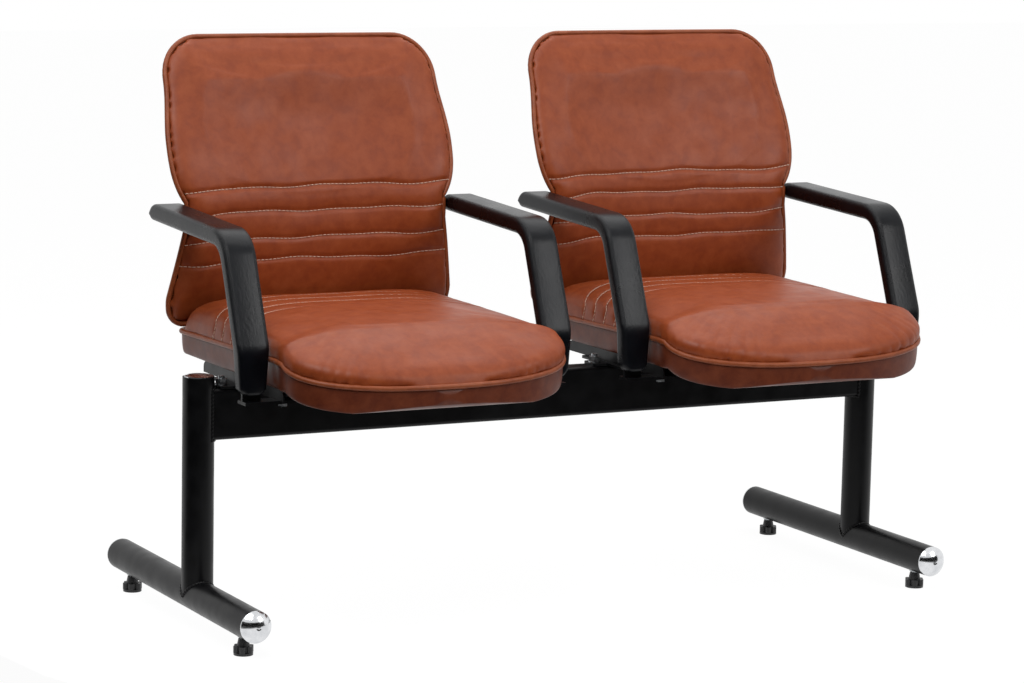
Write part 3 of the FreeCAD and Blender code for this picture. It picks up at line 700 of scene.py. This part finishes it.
def seat_relief(seed):
    """Sewn valleys, gathers above the front seam, a full nose and a little looseness, as a height."""
    def height(x, y, z):
        above = z - seam_height(y)
        off_lines = [y - seat_line_y(line, x) for line in seat_lines]
        dent = drawn_in(off_lines, seat_valley_depth, seat_valley_width, seat_pull_depth)
        dent *= smooth_step((above - 6) / 12)
        along = round_the_nose(x, y)
        corner = bell(abs(x) - 160, 58) * smooth_step((-150 - y) / 60)
        folds = bell(math.sin(along / gather_pitch + 1.1 * math.sin(along / 17 + seed)), 0.6)
        folds *= math.exp(-max(above, 0.0) / gather_reach) * smooth_step((above - 1) / 5) * corner
        overhang = bell(above - overhang_rise, 12) * smooth_step((-205 - y) / 40)
        loose = 0.5 * math.sin(x / 37 + seed) * math.sin(y / 53 + 2 * seed) * smooth_step((above - 20) / 20)
        return overhang_depth * overhang + loose - dent - gather_depth * folds
    return height


def shape_along_normals(piece, chair, height):
    """Moves every point out along its own normal by the height that the function gives for it."""
    points = read_points(piece.data)
    normals = np.empty(len(points) * 3)
    piece.data.vertex_normals.foreach_get("vector", normals)
    lift = np.array([height(*local(point, chair)) for point in points]) * MM
    write_points(piece.data, points + normals.reshape(-1, 3) * lift[:, None])


chairs = {"left": -1, "right": 1}
seat_pads = {}
seat_form = skin_from_rings("seat_form", seat_rings(), 0)
swell(seat_form, seat_is_held, seat_travel)
for side, chair in chairs.items():
    pad = copy_for_chair(seat_form, f"{side}_seat_padding", chair)
    shape_along_normals(pad, chair, seat_relief(chair + 2.3))
    finish_piece(pad, tan_cover, f"{side}_seat_cushion", pad=0.8)
    seat_pads[side] = pad
bpy.data.objects.remove(seat_form)

# %% [markdown]
# The band under the seam wraps the plywood board. It leans in a little towards its lower edge, and at the
# front it follows the waterfall curve down, so the knees meet no hard edge.

# %% Seat band
band_foot_inset = 8
pucker_pitch = 2.6
pucker_depth = 0.7
pucker_reach = 14


def band_low_edge(y):
    """The band rests on the rails, rises with the seam at the nose, and is drawn up at both ends."""
    high = seam_height(y) - soft_gap
    at_nose = smooth_step((-seat_bend + 25 - y) / 40)
    low = rail_top + 0.2 - (rail_top - (seam_height(y) - band_height)) * at_nose
    fade = min((seat_rear - skin_inset + 3 - y) / 16, (seat_front - skin_inset + 3 + y) / 22, 1.0)
    return high - (high - low) * (0.45 + 0.55 * math.sqrt(max(fade, 0.0)))


def seat_band_rings():
    rings = []
    for y in spread(seat_rear - skin_inset - 0.3, -seat_front + skin_inset + 0.3, 96, 0.75):
        half = seat_half(y, skin_inset)
        high = seam_height(y) - soft_gap
        low = band_low_edge(y)
        foot = max(half - band_foot_inset, half * 0.5)
        side = []
        for share in spread(0, 1, 12):
            angle = share * math.pi / 2
            x = foot + (half - foot) * math.cos(angle) ** 0.55
            side.append((x, y, high + (low - high) * math.sin(angle) ** 0.9))
        under = [(foot * (1 - 2 * share), y, low) for share in spread(0.04, 0.96, 40)]
        over = [(half * share, y, high) for share in spread(-0.97, 0.97, 30)]
        mirrored = [(-x, y, z) for x, y, z in reversed(side)]
        rings.append(side + under + mirrored + over)
    return rings


def band_puckers(seed):
    """Small folds where the cover is drawn round the nose, fading below the seam."""
    def height(x, y, z):
        drop = seam_height(y) - z
        along = round_the_nose(x, y)
        corner = bell(abs(x) - 170, 60) * smooth_step((-140 - y) / 60)
        folds = math.sin(along / pucker_pitch + 2 * math.sin(along / 13 + seed))
        return pucker_depth * folds * math.exp(-drop / pucker_reach) * corner
    return height


for side, chair in chairs.items():
    band = skin_from_rings(f"{side}_seat_band", seat_band_rings(), chair)
    shape_along_normals(band, chair, band_puckers(chair + 0.7))
    # The band's darker cover is painted shade.
    finish_piece(band, band_cover_shaded, f"{side}_seat_skirt", pad=0.5)

# %% [markdown]
# The back is a padded shell, hollow from side to side so that it holds the sitter's back. The front pad rolls
# over at its rim and is flat in the middle. Four sewn lines cross it, a little different on each chair.

# %% Back padding
back_lines = {"left": (667, 628, 585, 550), "right": (672, 639, 598, 563)}
rim_width = 44.0
back_crown = 3.0
back_swell = 1.5
back_travel = 4 * MM
back_valley_width = 3.8
back_valley_depth = 2.2
back_pull_depth = 1.0


def back_front_y(x, z):
    """Front face of the back pad at x and height z."""
    half = back_half_width(z, skin_inset)
    sag = back_sag(z) * (half / back_hip_half) ** 2
    rim = min(half - abs(x), (back_high - skin_inset - z) * 1.1, (z - back_low - 4) * 0.45)
    share = min(max(rim, 0.0) / rim_width, 1.0)
    roll = back_roll * math.sqrt(1 - (1 - share) ** 2)
    hollow = sag * (1 - (x / half) ** 2) if half > 1 else 0.0
    crown = back_crown * share * (1 - (x / half) ** 2)
    return back_line(z) - soft_gap + hollow - roll - crown


def back_rear_y(x, z):
    half = back_half_width(z, skin_inset)
    sag = back_sag(z) * (half / back_hip_half) ** 2
    return back_line(z) - soft_gap + sag * (1 - (x / half) ** 2)


def back_rings():
    rings = []
    for z in spread(back_low + back_pad_inset + 0.4, back_high - back_pad_inset - 0.4, 100, 0.6):
        half = back_half_width(z, back_pad_inset)
        front = []
        for share in spread(-0.999, 0.999, 65, 0.85):
            front.append((half * share, back_front_y(half * share, z) + back_swell, z))
        rear = [(half * share, back_rear_y(half * share, z), z) for share in spread(0.995, -0.995, 41)]
        rings.append(front + rear)
    return rings


def back_line_z(level, x, seed):
    """Height of a sewn line at x: it wanders a little and drops towards its ends."""
    end = 7 * smooth_step((-x - 130) / 100) - 4 * smooth_step((x - 150) / 90)
    return level + 1.6 * math.sin(x / 41 + seed + level) + 0.9 * math.sin(x / 17 + level) - end


def back_is_held(point):
    x, y, z = local(point, 0)
    return y > back_rear_y(x, z) - 4 or abs(z - back_waist_z) < held_beside_line


def back_relief(lines, seed):
    def height(x, y, z):
        if y > back_rear_y(x, z) - 3:
            return 0.0
        half = back_half_width(z, skin_inset)
        inside = smooth_step((half - abs(x)) / 10)
        off_lines = [z - back_line_z(level, x, seed) for level in lines]
        dent = drawn_in(off_lines, back_valley_depth, back_valley_width, back_pull_depth)
        loose = 0.4 * math.sin(x / 45 + seed) * math.sin(z / 61 + 3 * seed)
        return (loose - dent) * inside
    return height


back_pads = {}
back_form = skin_from_rings("back_form", back_rings(), 0)
swell(back_form, back_is_held, back_travel)
for side, chair in chairs.items():
    pad = copy_for_chair(back_form, f"{side}_back_padding", chair)
    shape_along_normals(pad, chair, back_relief(back_lines[side], chair))
    finish_piece(pad, tan_cover, f"{side}_back_cushion", pad=0.6)
    back_pads[side] = pad
bpy.data.objects.remove(back_form)

# %% [markdown]
# The rear cover is a thinner skin of the same leatherette over the shell. It is rounded in at its rim, where
# it meets the piping.

# %% Rear cover of the back
cover_round = 18


def cover_rings():
    rings = []
    for z in spread(back_low + skin_inset + 0.4, back_high - skin_inset - 0.4, 90, 0.6):
        half = back_half_width(z, skin_inset)
        front = []
        rear = []
        for share in spread(-0.998, 0.998, 55, 0.8):
            shell = back_rear_y(half * share, z) + 2 * soft_gap
            rim = min(half * (1 - abs(share)), back_high - skin_inset - z, (z - back_low) * 0.6)
            depth = back_cover_depth * math.sqrt(1 - (1 - min(max(rim, 0.0) / cover_round, 1.0)) ** 2)
            front.append((half * share, shell, z))
            rear.append((half * share, shell + depth + 0.05, z))
        rings.append(front + list(reversed(rear)))
    return rings


for side, chair in chairs.items():
    cover = skin_from_rings(f"{side}_back_rear_cover", cover_rings(), chair)
    finish_piece(cover, tan_cover, f"{side}_back_cover", pad=0.4)

# %% [markdown]
# Piping is a strip of leatherette folded round a cord and sewn into the seam. It is a round section swept
# along the seam line, and it closes on itself.

# %% Piping


def seat_seam_points():
    right = [(seat_side * share, seat_rear) for share in spread(0, 1 - seat_corner / seat_side, 12)]
    for degrees in range(80, 0, -10):
        angle = math.radians(degrees)
        right.append((seat_side - seat_corner * (1 - math.cos(angle)),
                      seat_rear - seat_corner * (1 - math.sin(angle))))
    right += [(seat_half(y), y) for y in spread(seat_rear - seat_corner, -seat_bend, 40)]
    for degrees in range(4, 90, 3):
        angle = math.radians(degrees)
        right.append((seat_nose * math.cos(angle) ** (2 / nose_power),
                      -seat_bend - nose_length * math.sin(angle) ** (2 / nose_power)))
    right.append((0, -seat_front))
    left = [(-x, y) for x, y in reversed(right[1:-1])]
    return [(x, y, seam_height(y)) for x, y in right + left]


def corner_levels(edge, radius, degrees):
    """Heights round a corner of the back, at even turns."""
    return [edge + radius * (1 - math.cos(math.radians(angle))) for angle in degrees]


def back_seam_points():
    levels = corner_levels(back_low, back_low_corner, range(0, 90, 10))
    levels += spread(back_low + back_low_corner, back_corner_z, 60)
    levels += corner_levels(back_high, -back_top_corner, range(84, 0, -7))
    levels.append(back_high)
    base_half = back_half_width(back_low)
    base = [(base_half * share, back_line(back_low), back_low) for share in spread(0, 0.93, 10)]
    sides = [(back_half_width(z), back_line(z), z) for z in levels]
    top_half = back_half_width(back_high)
    top_sag = back_sag(back_high) * 0.4
    top = []
    for share in spread(0.93, 0, 10):
        top.append((top_half * share, back_line(back_high) + top_sag * (1 - share ** 2), back_high))
    right = base + sides + top
    left = [(-x, y, z) for x, y, z in reversed(right[1:-1])]
    return right + left


def swept_cord(name, points, radius, chair, sides=12, ripple=0.0):
    """A closed round cord through the points. A ripple makes it thicker and thinner along its way."""
    path = [placed(point, chair) for point in points]
    count = len(path)
    mesh = bmesh.new()
    rings = []
    for index in range(count):
        along = (path[(index + 1) % count] - path[index - 1]).normalized()
        side = along.cross(Vector((0.1, 0.2, 1))).normalized()
        over = side.cross(along)
        thickness = radius * MM * (1 + ripple * math.sin(index * 2.1))
        ring = []
        for corner in range(sides):
            angle = 2 * math.pi * corner / sides
            outward = side * math.cos(angle) + over * math.sin(angle)
            ring.append(mesh.verts.new(path[index] + outward * thickness))
        rings.append(ring)
    for first, second in zip(rings, rings[1:] + rings[:1]):
        join_rings(mesh, first, second)
    return shown_from(mesh, name)


for side, chair in chairs.items():
    seat_cord = swept_cord(f"{side}_seat_welt", seat_seam_points(), pipe_radius, chair)
    finish_piece(seat_cord, welt_cover, f"{side}_seat_piping")
    back_cord = swept_cord(f"{side}_back_welt", back_seam_points(), pipe_radius, chair)
    finish_piece(back_cord, welt_cover, f"{side}_back_piping")

# %% [markdown]
# Each arm is one moulding of integral-skin foam over a steel strip. Its outer and inner lines are drawn in
# side view with rounded bends, and a rounded cross-section is set between them at every step. The UV map runs
# along the arm in metres, so that the moulded grain follows the bends as it does on the real one.

# %% Armrests
arm_inner = 232.0
arm_width = 53.0
arm_foot_z = 394.0
arm_front = -169.0
arm_upright_depth = 27.0
arm_lean_depth = 25.8
arm_lean = 0.4
arm_knee_z = 462.0
arm_top_z = 638.0
arm_top_rise = 0.04
arm_pad_depth = 26.0
arm_rear = 200.0
arm_round = 7.5
arm_taper_z = 470.0
arm_foot_width = 44.0
arm_chamfer = 8.0
arm_chamfer_slope = 0.9
arm_crown = 0.9
arm_tip_share = 0.62
arm_outer_bends = [0, 60, 62, 14, 0]
arm_inner_bends = [0, 60, 38, 8, 0]
arm_run_steps = 14
arm_bend_steps = 12
arm_girth = 0.15


def rounded_path(corners, radii):
    """Points along lines and arcs in side view, the same number for every path with as many corners."""
    path = []
    leave = Vector(corners[0])
    for index in range(1, len(corners)):
        corner = Vector(corners[index])
        if index == len(corners) - 1:
            path += [leave.lerp(corner, step / arm_run_steps) for step in range(arm_run_steps + 1)]
            break
        before = (leave - corner).normalized()
        after = (Vector(corners[index + 1]) - corner).normalized()
        half_angle = before.angle(after) / 2
        tangent = radii[index] / math.tan(half_angle)
        first = corner + before * tangent
        path += [leave.lerp(first, step / arm_run_steps) for step in range(arm_run_steps)]
        centre = corner + (before + after).normalized() * (radii[index] / math.sin(half_angle))
        sweep = math.copysign(math.pi - 2 * half_angle, before.y * after.x - before.x * after.y)
        for step in range(arm_bend_steps):
            path.append(centre + Matrix.Rotation(sweep * step / arm_bend_steps, 2) @ (first - centre))
        leave = corner + after * tangent
    return path


def arm_paths():
    """The outer and the inner line of an arm, from its foot to its rear end."""
    def crossing(depth, pad):
        level = arm_top_z - pad
        y = (arm_front + depth + arm_lean * (level - arm_knee_z)) / (1 - arm_lean * arm_top_rise)
        return (y, level + arm_top_rise * y)

    rear_z = arm_top_z + arm_top_rise * arm_rear
    back_face = arm_front + arm_upright_depth
    inner_knee = arm_knee_z + (arm_upright_depth - arm_lean_depth) / arm_lean
    tip = (arm_rear, rear_z - arm_pad_depth * arm_tip_share)
    outer = [(arm_front, arm_foot_z), (arm_front, arm_knee_z), crossing(0, 0), (arm_rear, rear_z), tip]
    inner = [(back_face, arm_foot_z), (back_face, inner_knee), crossing(arm_lean_depth, arm_pad_depth),
             (arm_rear, rear_z - arm_pad_depth), tip]
    return rounded_path(outer, arm_outer_bends), rounded_path(inner, arm_inner_bends)


def arm_ring(outer, inner):
    """A rounded rectangle between one point of the outer line and its partner on the inner line."""
    across = inner - outer
    depth = across.length
    way = across / max(depth, 1e-6)
    middle_z = (outer.y + inner.y) / 2
    width = arm_width
    if middle_z < arm_taper_z:
        taper = (arm_taper_z - middle_z) / (arm_taper_z - arm_foot_z - arm_chamfer)
        width -= (arm_width - arm_foot_width) * taper
    width -= 2 * max(arm_foot_z + arm_chamfer - middle_z, 0) * arm_chamfer_slope
    radius = min(arm_round, depth * 0.46)
    half = width / 2
    corners = ((half - radius, radius, 0), (half - radius, depth - radius, 90),
               (radius - half, depth - radius, 180), (radius - half, radius, 270))
    points = []
    for centre_x, centre_deep, turn in corners:
        for step in range(7):
            angle = math.radians(turn - 90 + step * 15)
            x = centre_x + radius * math.cos(angle)
            deep = centre_deep + radius * math.sin(angle)
            outward = 1 if deep < depth / 2 else -1
            crown = arm_crown * (1 - (x / half) ** 2) * outward * min(depth / 20, 1)
            spot = outer + way * (deep - crown)
            points.append((x, spot.x, spot.y))
    return points


def make_arm(name, chair, hand):
    outer, inner = arm_paths()
    rings = [arm_ring(first, second) for first, second in zip(outer, inner)]
    middle = hand * (arm_inner + arm_width / 2)
    mesh = bmesh.new()
    maps = mesh.loops.layers.uv.new("UVMap")
    grid = [[mesh.verts.new(placed((middle + x, y, z), chair)) for x, y, z in ring] for ring in rings]
    lengths = [0.0]
    for first, second in zip(outer, outer[1:]):
        lengths.append(lengths[-1] + (second - first).length * MM)
    count = len(rings[0])
    for level in range(len(grid) - 1):
        for index in range(count):
            corners = ((level, index), (level, index + 1), (level + 1, index + 1), (level + 1, index))
            face = mesh.faces.new([grid[step][spot % count] for step, spot in corners])
            face.smooth = True
            for loop, (step, spot) in zip(face.loops, corners):
                loop[maps].uv = (spot / count * arm_girth, lengths[step])
    foot = mesh.faces.new(list(reversed(grid[0])))
    foot.smooth = False
    bmesh.ops.remove_doubles(mesh, verts=mesh.verts, dist=1e-5)
    arm = shown_from(mesh, name)
    arm.data.materials.append(arm_foam)
    return arm


for side, chair in chairs.items():
    for letter, hand in (("a", -1), ("b", 1)):
        arm = make_arm(f"{side}_arm_moulding_{letter}", chair, hand)
        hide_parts(f"{side}_armrest_{letter}")
        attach(arm, "bench")
        print(arm.name, len(arm.data.polygons), "faces")

# %% [markdown]
# The beam is welded between the posts, and each post onto its foot. A weld bead is a row of overlapping
# puddles, so a thin cord is swept round each joint and its thickness ripples about every five millimetres.

# %% Weld beads
tube_radius = 25.0
post_x = middle_of("post_right", 0) / MM
beam_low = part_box("beam")[0].z / MM
beam_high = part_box("beam")[1].z / MM
foot_axis = middle_of("foot_tube_right", 2) / MM
beam_half = 20.0
bead_radius = 2.3
bead_ripple = 0.35
foot_bead_steps = 120


def weld_at_beam(side):
    """Round the beam's end, on the face of the post."""
    corners = [(-beam_half, beam_high), (beam_half, beam_high), (beam_half, beam_low), (-beam_half, beam_low)]
    outline = []
    for start, end, count in zip(corners, corners[1:] + corners[:1], (24, 40, 24, 40)):
        for share in spread(0, 1, count):
            outline.append((between(start[0], end[0], share), between(start[1], end[1], share)))
    points = []
    for (y, z), following in zip(outline, outline[1:] + outline[:1]):
        if math.dist((y, z), following) >= 0.5:
            points.append((side * (post_x - math.sqrt(tube_radius ** 2 - y ** 2)), y, z))
    return points


def weld_at_foot(side):
    """Round the foot of the post, where it stands across a tube of its own size."""
    points = []
    for step in range(foot_bead_steps):
        angle = 2 * math.pi * step / foot_bead_steps
        out = tube_radius * math.cos(angle)
        y = tube_radius * math.sin(angle)
        points.append((side * post_x + out, y, foot_axis + abs(y)))
    return points


for side, name in ((-1, "left"), (1, "right")):
    for place_name, points in (("beam", weld_at_beam(side)), ("foot", weld_at_foot(side))):
        bead = swept_cord(f"weld_{place_name}_{name}", points, bead_radius, 0, 10, bead_ripple)
        finish_piece(bead, powder_coat)

# %% [markdown]
# The decorative seams are sewn with thick pale thread, seven millimetres to a stitch. Geometry Nodes walk
# along each seam, set one short thread at every step, and turn it along the seam. The seams are found by
# rays onto the finished padding, so they follow its valleys and swellings.

# %% Stitches


stitch_sizes = {"Stitch pitch": 0.007, "Stitch length": 0.0054, "Thread radius": 0.00065}
thread_lift = 0.0003
down = Vector((0, 0, -1))
rearward = Vector((0, 1, 0))


def stitch_tree():
    tree = bpy.data.node_groups.new("stitch line", "GeometryNodeTree")
    tree.interface.new_socket("Geometry", in_out="INPUT", socket_type="NodeSocketGeometry")
    for name, value in stitch_sizes.items():
        socket = tree.interface.new_socket(name, in_out="INPUT", socket_type="NodeSocketFloat")
        socket.default_value = value
    tree.interface.new_socket("Geometry", in_out="OUTPUT", socket_type="NodeSocketGeometry")
    given = add_node(tree, "NodeGroupInput").outputs
    steps = add_node(tree, "GeometryNodeCurveToPoints", {"mode": "LENGTH"},
                     {"Curve": given["Geometry"], "Length": given["Stitch pitch"]}).outputs
    single = add_node(tree, "GeometryNodeMeshCylinder", {"Vertices": 6},
                      {"Radius": given["Thread radius"], "Depth": given["Stitch length"]}).outputs
    turned = add_node(tree, "FunctionNodeAlignRotationToVector", {"axis": "Z"},
                      {"Vector": steps["Tangent"]}).outputs
    sewn = add_node(tree, "GeometryNodeInstanceOnPoints", None,
                    {"Points": steps["Points"], "Instance": single["Mesh"],
                     "Rotation": turned["Rotation"]}).outputs
    real = add_node(tree, "GeometryNodeRealizeInstances", None, {"Geometry": sewn["Instances"]}).outputs
    painted = add_node(tree, "GeometryNodeSetMaterial", {"Material": thread},
                       {"Geometry": real["Geometry"]}).outputs
    add_node(tree, "NodeGroupOutput", None, {"Geometry": painted["Geometry"]})
    return tree


def sew(name, lines, tree):
    """Turns polylines of frame points into one mesh of stitches."""
    curve = bpy.data.curves.new(name, "CURVE")
    curve.dimensions = "3D"
    for line in lines:
        spline = curve.splines.new("POLY")
        spline.points.add(len(line) - 1)
        for point, target in zip(spline.points, line):
            point.co = (*target, 1)
    seam = shown(name, curve)
    modifier = seam.modifiers.new("stitches", "NODES")
    modifier.node_group = tree
    for item in tree.interface.items_tree:
        if item.in_out == "INPUT" and item.name in stitch_sizes:
            modifier[item.identifier] = stitch_sizes[item.name]
    data = as_mesh(seam)
    data.name = name
    bpy.data.objects.remove(seam)
    return shown(name, data)


def on_surface(surface, start, way):
    """Where a ray from start meets the padding, lifted a little off it."""
    hit = surface.ray_cast(start, way)[0]
    return None if hit is None else hit - way * thread_lift


def up_the_side(surface, line, chair, side):
    """Points of a seat seam on the steep side of the dome, from the piping up."""
    y = seat_line_y(line, seat_side)
    points = []
    for height in spread(7, 26, 8):
        start = placed((side * (seat_side + 60), y, seam_height(y) + height), chair)
        points.append(on_surface(surface, start, Vector((-side, 0, 0))))
    return points


def seat_seam_line(surface, line, chair):
    points = up_the_side(surface, line, chair, -1)
    for x in spread(-seat_side + 6, seat_side - 6, 120):
        start = placed((x, seat_line_y(line, x), 560), chair)
        points.append(on_surface(surface, start, down))
    points += reversed(up_the_side(surface, line, chair, 1))
    return [point for point in points if point is not None]


def back_seam_line(surface, level, chair):
    points = []
    for share in spread(-1, 1, 130):
        x = share * (back_half_width(level, skin_inset) - 3)
        start = placed((x, 60, back_line_z(level, x, chair)), chair)
        points.append(on_surface(surface, start, rearward))
    return [point for point in points if point is not None]


stitches = stitch_tree()
for side, chair in chairs.items():
    seen = bpy.context.evaluated_depsgraph_get()
    seat_surface = BVHTree.FromObject(seat_pads[side], seen)
    back_surface = BVHTree.FromObject(back_pads[side], seen)
    lines = [seat_seam_line(seat_surface, line, chair) for line in seat_lines]
    lines += [back_seam_line(back_surface, level, chair) for level in back_lines[side]]
    finish_piece(sew(f"{side}_stitches", lines, stitches), thread)

# %% [markdown]
# The stage is a plain white floor that fades into a white surround. The camera sees the surround as white,
# and the floor mixes a little of its real shade in, so that the feet keep a soft shadow. A dark cloth lies
# in front of the set and hangs behind the camera, out of its sight. Black paint and chrome mirror it, and so
# they keep their depth in an all-white room. Three soft lamps light the bench from above and in front.

# %% Floor, surround and lamps


def whitened(tree, plain, white, share):
    """White by its share for rays from the camera, a reflection or glass, and plain for all other light."""
    rays = add_node(tree, "ShaderNodeLightPath").outputs
    seen = rays["Is Camera Ray"]
    for name in ("Is Glossy Ray", "Is Transmission Ray"):
        seen = add_node(tree, "ShaderNodeMath", {"operation": "MAXIMUM"}, {0: seen, 1: rays[name]}).outputs[0]
    part = add_node(tree, "ShaderNodeMath", {"operation": "MULTIPLY"}, {0: seen})
    part.inputs[1].default_value = share
    mixed = add_node(tree, "ShaderNodeMixShader", None, {0: part.outputs[0], 1: plain, 2: white})
    return mixed.outputs[0]


floor_glow = 1.04
floor_whiteness = 0.93
floor_reach = 15
surround_light = 0.25


def make_floor():
    material, tree, surface, place = new_finish("studio_paper_white", {"Roughness": 0.9})
    surface.inputs["Base Color"].default_value = linear("#F4F4F4")
    glow = add_node(tree, "ShaderNodeEmission", {"Color": (1, 1, 1, 1), "Strength": floor_glow})
    seen = whitened(tree, surface.outputs["BSDF"], glow.outputs[0], floor_whiteness)
    output = next(node for node in tree.nodes if node.type == "OUTPUT_MATERIAL")
    tree.links.new(seen, output.inputs["Surface"])
    mesh = bmesh.new()
    bmesh.ops.create_grid(mesh, x_segments=2, y_segments=2, size=floor_reach)
    data = bpy.data.meshes.new("floor")
    mesh.to_mesh(data)
    mesh.free()
    data.materials.append(material)
    return shown("floor", data)


def make_surround():
    world = bpy.data.worlds.new("studio")
    bpy.context.scene.world = world
    world.use_nodes = True
    tree = world.node_tree
    tree.nodes.clear()
    light = add_node(tree, "ShaderNodeBackground", {"Color": (1, 1, 1, 1), "Strength": surround_light})
    white = add_node(tree, "ShaderNodeBackground", {"Color": (1, 1, 1, 1), "Strength": 1.0})
    seen = whitened(tree, light.outputs[0], white.outputs[0], 1.0)
    add_node(tree, "ShaderNodeOutputWorld", None, {"Surface": seen})


def add_lamp(name, place, target, size, power):
    lamp = bpy.data.lights.new(name, "AREA")
    lamp.shape = "RECTANGLE"
    lamp.size, lamp.size_y = size
    lamp.energy = power
    holder = bpy.data.objects.new(name, lamp)
    bpy.context.scene.collection.objects.link(holder)
    holder.location = place
    holder.rotation_euler = (Vector(target) - Vector(place)).to_track_quat("-Z", "Y").to_euler()


cloth_line = [(0.95, 0.003), (6.5, 0.003), (6.5, 2.6)]


def make_dark_cloth():
    """Along the cloth line, on the floor and then up, swung to both sides of the camera's view."""
    material, tree, surface, place = new_finish("studio_cloth_dark", {"Roughness": 1.0})
    surface.inputs["Base Color"].default_value = linear("#262626")
    facing = math.atan2(backwards.y, backwards.x)
    points = []
    for degrees in range(-80, 81, 10):
        angle = facing + math.radians(degrees)
        points += [(reach * math.cos(angle), reach * math.sin(angle), height) for reach, height in cloth_line]
    faces = []
    for corner in range(len(points) - 3):
        if corner % 3 < 2:
            faces.append((corner, corner + 1, corner + 4, corner + 3))
    data = bpy.data.meshes.new("dark_cloth")
    data.from_pydata(points, [], faces)
    data.materials.append(material)
    cloth = shown("dark_cloth", data)
    cloth.visible_camera = False
    return cloth


make_floor()
make_dark_cloth()
make_surround()

# The lamps' places and sizes are in metres, and their powers in watts.
add_lamp("top_softbox", (0.1, 0.5, 3.0), (0, 0, 0.4), (3.4, 2.6), 50)
add_lamp("key_softbox", (-1.9, -2.2, 3.5), (0, 0, 0.6), (2.2, 2.2), 92)
add_lamp("fill_softbox", (1.9, -3.1, 2.5), (0, 0, 0.7), (1.6, 1.6), 48)
bpy.context.scene.view_settings.view_transform = "Standard"
